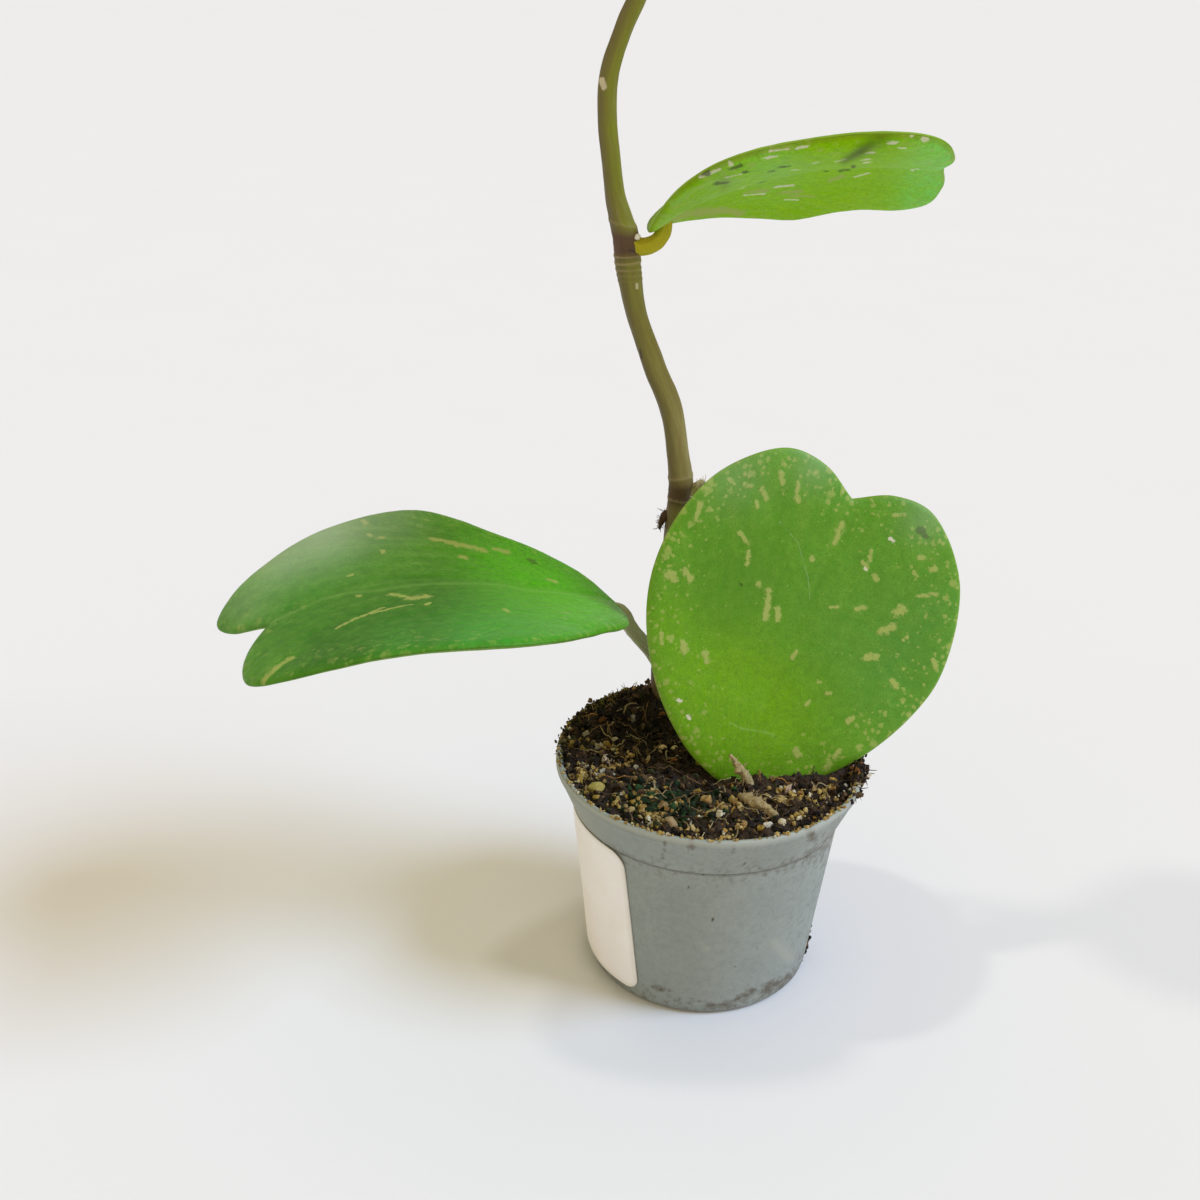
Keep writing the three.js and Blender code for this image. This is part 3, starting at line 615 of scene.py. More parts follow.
def make_piece(name, points, faces, material, slot, stands_for=(), paint=None, sharp=None):
    """An object with this mesh, which rides on the body root. Paint holds a number or a vector per point."""
    mesh = new_mesh(name, points, faces)
    for key, values in (paint or {}).items():
        kind, field = ("FLOAT_VECTOR", "vector") if np.ndim(values) == 2 else ("FLOAT", "value")
        layer = mesh.attributes.new(key, kind, "POINT")
        layer.data.foreach_set(field, np.asarray(values, np.float32).ravel())
    mesh.shade_smooth()
    if sharp:
        mesh.set_sharp_from_angle(angle=radians(sharp))
    mesh.materials.append(material)
    piece = bpy.data.objects.new(name, mesh)
    bpy.context.scene.collection.objects.link(piece)
    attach(piece, "root")
    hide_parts(*stands_for)
    return piece


def combine(piece, points, faces, operation):
    """Joins a closed mesh to the piece, or cuts it out."""
    other = bpy.data.objects.new("tool", new_mesh("tool", points, faces))
    bpy.context.scene.collection.objects.link(other)
    step = piece.modifiers.new(operation, "BOOLEAN")
    step.operation, step.object, step.solver = operation, other, "EXACT"
    shown = piece.evaluated_get(bpy.context.evaluated_depsgraph_get())
    done = bpy.data.meshes.new_from_object(shown)
    piece.modifiers.clear()
    piece.data = done
    bpy.data.objects.remove(other)


def random_turns(draw, count, lean):
    """Random turnings as three axes each: the third leans from upright by up to about the given amount."""
    upright = unit(np.array([0, 0, 1]) + lean * draw.normal(size=(count, 3)))
    across = unit(np.cross(upright, draw.normal(size=(count, 3))))
    return np.stack([across, np.cross(upright, across), upright], 1)


def stones(places, sizes, seed, rows=3, columns=6, flatness=0.7, jag=0.55, lean=1.2):
    """Loose stones or crumbs: balls of rows by columns, pushed out and in by noise that differs from one to
    the next, narrowed, flattened, turned and moved to their places."""
    draw = np.random.default_rng(seed)
    count = len(places)
    polar = (np.arange(rows) + 1) * pi / (rows + 1)
    turn = np.arange(columns) * tau / columns
    across = np.sin(polar)[:, None] * np.stack([np.cos(turn), np.sin(turn)])[:, None]
    ball = np.stack([*across, np.outer(np.cos(polar), np.ones(columns))], -1)
    ball = np.vstack([ball.reshape(-1, 3), [[0, 0, 1], [0, 0, -1]]])
    bumps = rough(ball * 1.1 + (np.arange(count) * 7.3)[:, None, None], 1, seed, 3)
    shape = ball * (1 + jag * bumps[..., None])
    narrow = np.stack([np.ones(count), draw.uniform(0.6, 1, count), np.full(count, flatness)], -1)
    turned = (shape * narrow[:, None]) @ random_turns(draw, count, lean)
    points = np.asarray(places)[:, None] + np.asarray(sizes)[:, None, None] / 2 * turned
    return repeated(points, tube_faces(rows, columns))


def threads(paths, width, sides=4):
    """Thin fibres: a tube along each path, widest in the middle and thin at its ends."""
    steps = paths.shape[1]
    taper = np.sin(np.linspace(0.15, pi - 0.15, steps)) ** 0.5
    radii = np.asarray(width).reshape(-1, 1) / 2 * taper
    rings = paths[:, :, None] + radii[..., None, None] * ring_axes(paths, sides, (0.31, 0.42, 0.85))
    points = np.concatenate([rings.reshape(len(paths), -1, 3), paths[:, :1], paths[:, -1:]], 1)
    return repeated(points, tube_faces(steps, sides))


def wandering(draw, starts, ways, lengths, steps=9, curl=0.5):
    """Paths that leave their starts along their ways and wander: each step turns the way a little."""
    turns = draw.normal(size=(len(starts), steps, 3)).cumsum(1) * curl / steps**0.5
    moves = unit(ways[:, None] + turns) * (lengths / steps)[:, None, None]
    return np.concatenate([starts[:, None], starts[:, None] + moves.cumsum(1)], 1)


def tube(route, steps, sides, reference=(0, 1, 0)):
    """Rings along a smooth route, the directions outwards round it, and the length gone at each ring."""
    path = smooth_route(route, steps)
    ways = ring_axes(path[:, :3], sides, reference)
    gone = np.concatenate([[0], np.linalg.norm(np.diff(path[:, :3], axis=0), axis=1).cumsum()])
    return path[:, None, :3] + path[:, None, 3:] * ways, ways, gone


# ---- Materials


def linear(code):
    """Linear red, green and blue of an sRGB hex colour."""
    share = np.array([int(code[k : k + 2], 16) for k in (1, 3, 5)]) / 255
    return tuple(np.where(share <= 0.04045, share / 12.92, ((share + 0.055) / 1.055) ** 2.4).tolist())


def opaque(tint):
    """A hex code or a colour setting with full alpha, as the shaders want it."""
    return (*(linear(tint) if isinstance(tint, str) else tint), 1)


def fill(tree, shader, values):
    """Sets a node's inputs to values, or links sockets to them."""
    for key, value in values.items():
        if isinstance(value, bpy.types.NodeSocket):
            tree.links.new(value, shader.inputs[key])
        else:
            shader.inputs[key].default_value = value


def add_node(tree, kind, values=(), output=0, **settings):
    """Adds a node with its settings and inputs, and gives one of its outputs."""
    made = tree.nodes.new(f"ShaderNode{kind}")
    for key, value in settings.items():
        setattr(made, key, value)
    fill(tree, made, dict(values))
    return made.outputs[output]


def new_material(name):
    """Two functions of a new material: one adds a node to it, and the other fills its principled shader and
    gives the material."""
    material = bpy.data.materials.new(name)
    material.use_nodes = True
    tree = material.node_tree

    def shade(values):
        fill(tree, tree.nodes["Principled BSDF"], values)
        return material

    return partial(add_node, tree), shade


def value_of(add, source):
    """The socket of a source: a socket as it is, the painted values of that name, or the sum of two."""
    if isinstance(source, str):
        return add("Attribute", {}, 2, attribute_name=source)
    if isinstance(source, tuple):
        return add("Math", {k: value_of(add, part) for k, part in enumerate(source)}, operation="ADD")
    return source


def coloured(add, base, layers):
    """A base colour under layers of colour. A layer is its source, the source's values at which its cover
    starts and is full, the fullest cover, and its colour."""
    base = base if isinstance(base, bpy.types.NodeSocket) else opaque(base)
    for source, start, end, most, tint in layers:
        cover = add("MapRange", {0: value_of(add, source), 1: start, 2: end, 4: most})
        base = add("Mix", {0: cover, 6: base, 7: opaque(tint)}, 2, data_type="RGBA")
    return base


def bumped(add, *layers):
    """The surface's direction over layers of bumps: each has its heights, strength and depth in mm."""
    under = {}
    for heights, strength, depth in layers:
        layer = {"Strength": strength, "Distance": depth * MM, "Height": heights}
        under["Normal"] = add("Bump", layer | under)
    return under["Normal"]


def waxy_leaf(leaf, look):
    """Succulent leaf skin: a thick smooth cuticle over green flesh. It gives soft broad highlights, a
    slightly blurred colour, paler splashes with crisp edges, and the fine pits of its pores."""
    add, shade = new_material(f"waxy_skin_{leaf['node']}")
    flat = add("Attribute", {}, 1, attribute_name="flat")  # millimetres on the leaf laid flat
    spray = add("Attribute", {}, 1, attribute_name="spray")  # runs out from the leaf's base
    big = add("TexNoise", {"Vector": flat, "Scale": 1 / 14, "Detail": 2})
    middling = add("TexNoise", {"Vector": flat, "Scale": 1 / 2.4, "Detail": 3})
    small = add("TexNoise", {"Vector": flat, "Scale": 1 / 0.9, "Detail": 3, "Roughness": 0.65})
    fine = add("TexNoise", {"Vector": flat, "Scale": 1 / 0.3, "Detail": 2})
    streak = add("TexNoise", {"Vector": spray, "Scale": 1, "Detail": 3})
    # A speckle is the middle of a cell, wider where the cell is lucky and the margin is near.
    near_rim = add("MapRange", {0: value_of(add, "margin"), 1: 16, 2: 2, 3: 0.35})
    ragged = add("MapRange", {0: small, 1: 0.25, 2: 0.75, 3: -0.25, 4: 0.25})
    speckles = []
    for cell in SPECKLE_CELLS:
        cells = {"Vector": flat, "Scale": 1 / cell}
        luck = add("SeparateColor", {0: add("TexVoronoi", cells, 1, voronoi_dimensions="2D")})
        luck = add("Math", {0: luck, 1: near_rim}, operation="MULTIPLY")
        spread = add("MapRange", {0: luck, 1: 0.4, 2: 1, 4: 0.5})
        edge = value_of(add, (add("TexVoronoi", cells, voronoi_dimensions="2D"), ragged))
        speckles.append(add("Math", {0: spread, 1: edge}, operation="SUBTRACT"))
    wobble = add("MapRange", {0: small, 1: 0.25, 2: 0.75, 3: -0.45, 4: 0.4})
    layers = [
        (big, 0.35, 0.65, 0.5, look["deep"]),
        (streak, 0.46, 0.3, 0.4, look["deep"]),
        (streak, 0.5, 0.75, 0.5, look["light"]),
        # Painted shade, teal sheen (cool) and glow, from the pools.
        ("shade", 0, 1, 1, look["deep"]),
        ("cool", 0, 1, 1, look["cool"]),
        ("glow", 0, 1, 1, look["glow"]),
        (middling, 0.35, 0.75, 0.3, look["light"]),
        (small, 0.4, 0.7, 0.35, look["deep"]),
        (fine, 0.45, 0.7, 0.35, look["dark"]),
        # A narrow band along the margin in the rim colour: on the front leaf it is lighter, painted light
        # showing through the thin edge.
        ("margin", 0.7, 0.1, 0.5, look["rim"]),
        *((speckle, 0, 0.18, look["strength"]["speckle"], look["splash"]) for speckle in speckles),
        *(((key, wobble), 0.36, 0.7, look["strength"][key], look[key]) for key in MARKS),
        # Painted shadow along the upper leaf's fold, and a painted silvery glare.
        ("crease", 0, 1, 0.9, look["crease"]),
        ("bloom", 0, 1, 0.6, look["bloom"]),
        ("under", 0, 1, 0.75, look["under"]),
        ("stalk", 0, 1, 1, look["stalk"]),
        ("joint", 0.2, 1, 1, look["joint"]),
    ]
    raised = add("MapRange", {0: value_of(add, ("splash", wobble)), 1: 0.42, 2: 0.62})
    bumps = ((fine, 0.7, 0.08), (middling, 0.5, 0.25), (streak, 0.6, leaf["ridges"]), (raised, 0.5, 0.12))
    return shade({
        "Base Color": coloured(add, look["skin"], layers),
        "Roughness": add("MapRange", {0: middling, 1: 0.3, 2: 0.7, 3: 0.42, 4: 0.54}),
        "Specular IOR Level": leaf["gloss"],
        "Subsurface Weight": 0.08,
        "Subsurface Radius": (0.6, 1, 0.25),
        "Subsurface Scale": 1.2 * MM,
        "Normal": bumped(add, *bumps),
    })


def stem_skin(settings):
    """Young stem: green skin under a thin grey-brown bark that tears lengthwise. It gives fine long streaks,
    olive green above and brown below, and pale corky rings at the joints."""
    add, shade = new_material("torn_young_bark")
    grain = add("Attribute", {}, 1, attribute_name="grain")
    streak = add("TexNoise", {"Vector": grain, "Scale": 1 / 0.55, "Detail": 4, "Roughness": 0.65})
    patch = add("TexNoise", {"Vector": grain, "Scale": 1 / 2.6, "Detail": 3})
    fine = add("TexNoise", {"Vector": grain, "Scale": 1 / 0.16, "Detail": 2})
    wobble = add("MapRange", {0: fine, 1: 0.2, 2: 0.8, 3: -0.25, 4: 0.25})
    layers = [
        ("young", 0, 1, 1, settings.young),
        (streak, 0.35, 0.7, 0.5, "#7a6836"),
        (patch, 0.45, 0.75, 0.4, "#655526"),
        (streak, 0.62, 0.78, 0.6, "#a2925f"),
        # Painted shade: purple-brown on the side turned away from the key light.
        ("left", 0.3, 1, 0.5, "#4a3138"),
        ("node", 0.15, 0.8, 0.9, "#543626"),
        (("ring", wobble), 0.4, 0.9, 0.4, "#b9a27a"),
        (("scar", wobble), 0.45, 0.65, 0.9, "#cfc2a2"),
        (("fleck", wobble), 0.45, 0.65, 0.7, "#3a2a20"),
    ]
    return shade({
        "Base Color": coloured(add, settings.old, layers),
        "Roughness": add("MapRange", {0: streak, 1: 0.3, 2: 0.7, 3: 0.5, 4: 0.66}),
        "Specular IOR Level": 0.4,
        "Normal": bumped(add, (streak, 0.7, 0.2), (fine, 0.4, 0.06)),
    })


def dyed(name, roughness, grain_size, depth, dark="#20160f"):
    """Dry plant matter, peat and grit: each crumb or fibre has its own dye. Grains of grain_size millimetres
    darken it and roughen it, which gives a dull dusty look with no highlight."""
    add, shade = new_material(name)
    place = add("TexCoord", {}, 3)
    grains = add("TexNoise", {"Vector": place, "Scale": 1 / (grain_size * MM), "Detail": 4, "Roughness": 0.7})
    dye = add("Attribute", {}, 1, attribute_name="dye")
    return shade({
        "Base Color": coloured(add, dye, [(grains, 0.55, 0.35, 0.6, dark)]),
        "Roughness": roughness,
        "Specular IOR Level": 0.3,
        "Normal": bumped(add, (grains, 0.8, depth)),
    })


def peat(settings):
    """Damp peat: dark crumbs with moss over them. It gives an almost black ground with brown lights, green
    where moss grows, and a faint damp shine on the finest grains."""
    add, shade = new_material("damp_peat")
    place = add("TexCoord", {}, 3)
    coarse = add("TexNoise", {"Vector": place, "Scale": 1 / (2.8 * MM), "Detail": 5, "Roughness": 0.7})
    fine = add("TexNoise", {"Vector": place, "Scale": 1 / (0.3 * MM), "Detail": 3, "Roughness": 0.7})
    wobble = add("MapRange", {0: fine, 1: 0.3, 2: 0.7, 3: -0.35, 4: 0.35})
    layers = [
        (coarse, 0.4, 0.65, 0.9, "#4a3524"),
        # Painted shade: near black in the hollows and at the back left.
        ("hollow", 0, 1, 0.9, "#0b0806"),
        (fine, 0.55, 0.75, 0.7, "#6a5238"),
        (("moss", wobble), 0.35, 0.9, 0.8, settings.moss),
        (fine, 0.42, 0.3, 0.85, "#0c0907"),
    ]
    return shade({
        "Base Color": coloured(add, settings.peat, layers),
        "Roughness": add("MapRange", {0: fine, 1: 0.3, 2: 0.7, 3: 0.95, 4: 0.62}),
        "Specular IOR Level": 0.3,
        "Normal": bumped(add, (coarse, 1, 0.5), (fine, 1, 0.2)),
    })


def moulded_plastic(settings):
    """Recycled polypropylene, injection moulded and used: matte grey, faintly cloudy, with a fine eggshell
    texture, splashes of dried soil low down and under the band, and dust, most of it on the band's left. A
    painted highlight lightens the rim's top, and a painted shadow darkens the band's foot under its lip."""
    add, shade = new_material("moulded_grey_plastic")
    place = add("TexCoord", {}, 3)
    cloud = add("TexNoise", {"Vector": place, "Scale": 1 / (9 * MM), "Detail": 4, "Roughness": 0.6})
    mottle = add("TexNoise", {"Vector": place, "Scale": 1 / (1.3 * MM), "Detail": 4, "Roughness": 0.65})
    fine = add("TexNoise", {"Vector": place, "Scale": 1 / (0.3 * MM), "Detail": 2})
    wobble = add("MapRange", {0: mottle, 1: 0.2, 2: 0.8, 3: -0.5, 4: 0.5})
    layers = [
        (cloud, 0.35, 0.7, 0.35, "#a3a9a2"),
        (mottle, 0.42, 0.7, 0.3, "#787d76"),
        (fine, 0.5, 0.7, 0.25, "#a9aea6"),
        (("dirt", wobble), 0.3, 0.9, 0.75, "#54452f"),
        (("dust", wobble), 0.3, 1.3, 0.5, settings.dust),
        (("speck", wobble), 0.45, 0.7, 0.9, "#4b3a28"),
        # Painted shadow at the band's foot.
        ("groove", 0.3, 1, 0.75, "#4c4a40"),
        # Painted highlight along the rim's top.
        ("edge", 0.3, 1, 0.6, "#b9bcb0"),
    ]
    return shade({
        "Base Color": coloured(add, settings.plastic, layers),
        "Roughness": add("MapRange", {0: mottle, 1: 0.3, 2: 0.7, 3: 0.48, 4: 0.66}),
        "Specular IOR Level": 0.45,
        "Normal": bumped(add, (fine, 0.35, 0.08), (mottle, 0.3, 0.15)),
    })


def label_paper(settings):
    """Uncoated label paper that has been watered: warm off-white, with faint long fibres, slight cockling and
    a little soil dust, greyer towards its edges."""
    add, shade = new_material("uncoated_label_paper")
    flat = add("Attribute", {}, 1, attribute_name="flat")
    cloud = add("TexNoise", {"Vector": flat, "Scale": 1 / 8, "Detail": 3})
    stretched = add("Mapping", {"Vector": flat, "Scale": (1 / 1.6, 1 / 0.22, 1)})
    fibres = add("TexNoise", {"Vector": stretched, "Scale": 1, "Detail": 4, "Roughness": 0.7})
    specks = add("TexNoise", {"Vector": flat, "Scale": 1 / 0.5, "Detail": 2})
    layers = [
        (cloud, 0.4, 0.7, 0.3, "#efe8dc"),
        (fibres, 0.5, 0.75, 0.25, "#f4ecdd"),
        ("margin", 1.2, 0, 0.35, "#c4baa6"),
        (specks, 0.66, 0.74, 0.35, "#b3a284"),
    ]
    return shade({
        "Base Color": coloured(add, settings.paper, layers),
        "Roughness": 0.72,
        "Specular IOR Level": 0.35,
        "Normal": bumped(add, (cloud, 0.4, 0.3), (fibres, 0.4, 0.04)),
    })


def dried_sap():
    """A bead of dried milky sap: smooth, white and glossy, with light inside it."""
    add, shade = new_material("dried_milky_sap")
    cloud = add("TexNoise", {"Vector": add("TexCoord", {}, 3), "Scale": 1 / (0.8 * MM), "Detail": 2})
    return shade({
        "Base Color": coloured(add, "#ece6d6", [(cloud, 0.4, 0.7, 0.5, "#cfc4a6")]),
        "Roughness": 0.25,
        "Subsurface Weight": 0.3,
        "Subsurface Radius": (1, 0.9, 0.7),
        "Subsurface Scale": 0.5 * MM,
    })


def painted_floor(settings):
    """A matte studio sweep: smooth and pale, with only the faintest clouding."""
    add, shade = new_material("matte_studio_floor")
    cloud = add("TexNoise", {"Vector": add("TexCoord", {}, 3), "Scale": 1 / (60 * MM), "Detail": 2})
    tone = [(cloud, 0.3, 0.7, 0.03, "#d8d4cc")]
    return shade({
        "Base Color": coloured(add, settings.floor, tone),
        "Roughness": 0.9,
        "Specular IOR Level": 0.15,
    })


# ---- Settings that a user would change


def size(name, description, millimetres):
    """A setting for a length."""
    return FloatProperty(name=name, description=description, default=millimetres * MM, min=0, unit="LENGTH")


def colour(name, description, code):
    """A setting for a colour."""
    value = linear(code)
    words = {"name": name, "description": description}
    return FloatVectorProperty(**words, default=value, min=0, max=1, subtype="COLOR")


class PotSettings(bpy.types.PropertyGroup):
    lip: size("Lip", "How far the rim's edge is rounded", 0.45)
    rounding: size("Rounding", "Rounding of the pot's other edges", 0.15)
    unevenness: size("Unevenness", "How far the thin wall strays from a true cone", 0.12)
    cockle: size("Cockle", "How far the label's paper lifts in waves", 0.09)
    plastic: colour("Plastic", "Colour of the pot", "#8d948f")
    dust: colour("Dust", "Colour of the dried splashes", "#b9b6a6")
    paper: colour("Paper", "Colour of the bare label", "#fffaf8")


class SoilSettings(bpy.types.PropertyGroup):
    lumps: size("Lumps", "Height of the coarse crumbs of the surface", 1.5)
    crumbs: IntProperty(name="Crumbs", description="Loose crumbs on the surface", default=3500, min=0)
    fibres: IntProperty(name="Fibres", description="Loose fibres and fine roots", default=190, min=0)
    peat: colour("Peat", "Colour of the damp peat", "#2b2018")
    moss: colour("Moss", "Colour of the moss at the front", "#203c1c")


class StemSettings(bpy.types.PropertyGroup):
    bark: size("Bark", "Height of the stem's long ridges", 0.1)
    young: colour("Young stem", "Colour of the stem near its tip", "#80821a")
    old: colour("Old stem", "Colour of the stem near the soil", "#9e8c5a")


class LeafSettings(bpy.types.PropertyGroup):
    front: colour("Front leaf", "Green of the big front leaf", "#66a11c")
    left: colour("Left leaf", "Green of the left leaf", "#549a18")
    upper: colour("Upper leaf", "Green of the upper leaf", "#96cb02")
    splash: colour("Splash", "Pale grey-green of the splashes", "#a4b05a")
    under: colour("Underside", "Paler green of the undersides", "#86a452")


class StageSettings(bpy.types.PropertyGroup):
    floor: colour("Floor", "Colour of the floor", "#e8e7e8")
    key: FloatProperty(name="Key light", description="Strength of the cool light from the right", default=2.4)
    fill: FloatProperty(name="Second light", description="Strength of the light from the left", default=0.42)
    key_colour: FloatVectorProperty(
        name="Key colour", description="Colour of the light from the right", default=(0.545, 0.705, 1),
        subtype="COLOR")
    room: FloatVectorProperty(
        name="Room", description="Warm light from all round", default=(0.66, 0.575, 0.41), subtype="COLOR")


# ---- Pot and label


def outer_radius(z):
    """The tapered wall's outside: straight from the base's corner up to the band."""
    top = BAND["radius"] - BAND["step"]
    return BASE["radius"] + (top - BASE["radius"]) * (z - BASE["corner"]) / (BAND["bottom"] - BASE["corner"])


def inner_radius(z):
    """The wall's inside: parallel to the taper, then straight out to the rim."""
    foot = outer_radius(BAND["bottom"]) - POT_WALL
    band = foot + (RIM_RADIUS - POT_WALL - foot) * (z - BAND["bottom"]) / (POT_HEIGHT - BAND["bottom"])
    return np.where(z < BAND["bottom"], outer_radius(z) - POT_WALL, band)


def pot_profile(settings):
    """The pot's section from the middle of its underside, up the outside, over the rim and down the inside to
    the middle of its floor: corners, each rounded by a short parabola."""
    soft, lip = settings.rounding / MM, settings.lip / MM
    ring = BASE["radius"] - BASE["corner"] - BASE["ring"]
    step, inner = BAND["bottom"] + BAND["step"], float(inner_radius(BAND["bottom"]))
    floor = BASE["floor"]
    corners = np.array([
        (0, 0, 0),
        (BASE["pad"], 0, soft),
        (BASE["pad"], BASE["plate"], soft),
        (ring, BASE["plate"], soft),
        (ring, 0, soft),
        (outer_radius(0), 0, BASE["corner"]),
        (outer_radius(BAND["bottom"]), BAND["bottom"], soft / 2),
        (BAND["radius"], step, soft),
        (RIM_RADIUS - LIP["step"], POT_HEIGHT - LIP["low"], soft),
        (RIM_RADIUS, POT_HEIGHT - LIP["high"], soft),
        (RIM_RADIUS, POT_HEIGHT, lip),
        (RIM_RADIUS - POT_WALL, POT_HEIGHT, lip),
        (inner, BAND["bottom"], 1),
        (float(inner_radius(floor)), floor, 1),
        (0, floor, 0),
    ])
    before, here, after = corners[:-2, :2], corners[1:-1, :2], corners[2:, :2]
    reach = corners[1:-1, 2:]
    start = here + reach * unit(before - here)
    end = here + reach * unit(after - here)
    t = np.linspace(0, 1, 5)[:, None, None]
    curves = ((1 - t) ** 2 * start + 2 * t * (1 - t) * here + t**2 * end).transpose(1, 0, 2).reshape(-1, 2)
    path = np.vstack([corners[:1, :2], curves, corners[-1:, :2]])
    gone = np.concatenate([[0], np.linalg.norm(np.diff(path, axis=0), axis=1).cumsum()])
    even = np.union1d(gone, np.linspace(0, gone[-1], 110))
    even = even[np.concatenate([[True], np.diff(even) > 0.02])]
    return np.stack([np.interp(even, gone, path[:, k]) for k in (0, 1)], -1)


POT_MARKS = {
    "dirt": [
        (692, 838, 691, 852, 0.9), (664, 842, 664, 858, 0.5), (735, 845, 734, 857, 0.6),
        (706, 1003, 716, 1006, 0.8), (640, 1000, 652, 1006, 1), (780, 985, 787, 990, 1),
        (802, 800, 812, 838, 1.5), (822, 790, 826, 812, 1.2), (745, 862, 747, 868, 0.6),
        (598, 845, 600, 862, 0.6), (738, 998, 752, 991, 1.2), (764, 990, 790, 977, 1.6),
        (700, 1002, 735, 1005, 0.8), (655, 986, 668, 993, 0.9),
    ],
    "dust": [(776, 944, 790, 958, 2), (700, 944, 708, 949, 1)],
    "speck": [
        (638, 875, 640, 877, 0.35), (687, 884, 689, 886, 0.4), (660, 905, 661, 905, 0.2),
        (712, 918, 713, 919, 0.25), (741, 893, 742, 894, 0.25), (770, 872, 771, 874, 0.35),
        (620, 902, 621, 903, 0.3), (676, 968, 677, 969, 0.25), (733, 965, 735, 966, 0.3),
        (804, 868, 805, 871, 0.35), (793, 905, 794, 906, 0.25), (631, 958, 632, 958, 0.2),
        (703, 874, 703, 875, 0.2), (757, 948, 758, 949, 0.25),
    ],
}


def pot_paint(points):
    """Dirt, dust and specks, a painted highlight on the rim's top and a painted shadow at the band's foot:
    marks at their seen places, and bell curves of the height.
    """
    seen = seen_at(points)
    radius, z = np.hypot(points[:, 0], points[:, 1]), points[:, 2]
    outside = (radius > inner_radius(z) + POT_WALL / 2) * 1.0
    front = (points[:, 1] < 5) * outside
    dirt = sum(strength * hill((z - height) / reach) for height, reach, strength in DIRTY_BANDS)
    side, reach, strength = DIRTY_SIDE
    dirt = (dirt + strength * hill((points[:, 0] - side) / reach)) * outside
    above_soil = (1 - outside) * (z > SOIL_LEVEL - 2) * DIRT_INSIDE
    paint = {key: strokes(seen, lines) * front for key, lines in POT_MARKS.items()}
    paint["dirt"] = np.maximum(paint["dirt"], dirt + above_soil)
    # Soil clings to the rim at the back left, and dust to the band's left.
    turned = points[:, :2] @ np.array([cos(RIM_SOIL), sin(RIM_SOIL)]) / RIM_RADIUS
    start, rise = RIM_DIRT
    paint["dirt"] = np.maximum(paint["dirt"], turned.clip(0, 1) * ((z - start) / rise).clip(0, 1))
    full, strength = DUSTY_SIDE
    to_left = (-points[:, 0] / full).clip(0, 1) ** 3
    paint["dust"] = np.maximum(paint["dust"], strength * to_left * (z > BAND["bottom"]))
    # A painted highlight lightens the rounded top of the rim.
    below, reach = RIM_HIGHLIGHT
    paint["edge"] = hill((z - POT_HEIGHT + below) / reach)
    # A painted shadow darkens the band's foot, where its lip overhangs.
    above, reach = BAND_SHADOW
    paint["groove"] = hill((z - BAND["bottom"] - above) / reach) * outside
    return paint


def pot_ribs():
    """Boxes under the pot's floor, from the pad in its middle out to the ring."""
    inner = BASE["radius"] - BASE["corner"] - BASE["ring"] + RIBS["bite"]
    spans = [
        (BASE["pad"] - RIBS["bite"], inner),
        (-RIBS["width"] / 2, RIBS["width"] / 2),
        (RIBS["bottom"], BASE["plate"] + RIBS["bite"]),
    ]
    box = np.array(list(itertools.product(*spans)))
    sides = [(0, 1, 3, 2), (4, 6, 7, 5), (0, 4, 5, 1), (2, 3, 7, 6), (0, 2, 6, 4), (1, 5, 7, 3)]
    ribs = []
    for k in range(RIBS["count"]):
        turned = box @ np.array(Matrix.Rotation(tau * k / RIBS["count"], 3, "Z")).T
        ribs.append((turned, [np.array(sides)]))
    return joined(*ribs)


def pot_holes():
    """Round rods on a circle, where the drainage holes are."""
    turn = np.arange(DRAIN["sides"]) * tau / DRAIN["sides"]
    ways = np.stack([np.cos(turn), np.sin(turn), 0 * turn], -1)
    ends = np.array([(0, 0, -DRAIN["reach"]), (0, 0, DRAIN["reach"])])
    drill = DRAIN["radius"] * ways + ends[:, None]
    holes = []
    for k in range(DRAIN["count"]):
        angle = tau * (k + 0.5) / DRAIN["count"]
        holes.append(closed_skin(drill + DRAIN["circle"] * np.array([cos(angle), sin(angle), 0])))
    return joined(*holes)


class HOYA_OT_pot(bpy.types.Operator):
    """Adds the nursery pot, with its base ring, ribs and drainage holes"""

    bl_idname = "hoya.pot"
    bl_label = "Pot"

    def execute(self, context):
        settings = context.scene.hoya_pot
        section = pot_profile(settings)
        turn = np.arange(POT_COLUMNS) * tau / POT_COLUMNS
        ways = np.stack([np.cos(turn), np.sin(turn), 0 * turn], -1)
        rings = section[1:-1, None, :1] * ways + section[1:-1, None, 1:] * np.array([0, 0, 1])
        # The thin wall strays a little, and more towards the rim; both its faces stray together.
        stray = noise(ways * 1.3, 1, 11) * settings.unevenness / MM
        rings += (rings[..., 2] / POT_HEIGHT * stray)[..., None] * ways
        points, faces = closed_skin(rings, (0, 0, section[0, 1]), (0, 0, section[-1, 1]))
        material = moulded_plastic(settings)
        paint = pot_paint(points)
        piece = make_piece("pot_shell", points, faces, material, "pot_plastic", ["nursery_pot"], paint)
        combine(piece, *pot_ribs(), "UNION")
        combine(piece, *pot_holes(), "DIFFERENCE")
        piece.data.shade_smooth()
        piece.data.set_sharp_from_angle(angle=radians(35))
        return {"FINISHED"}


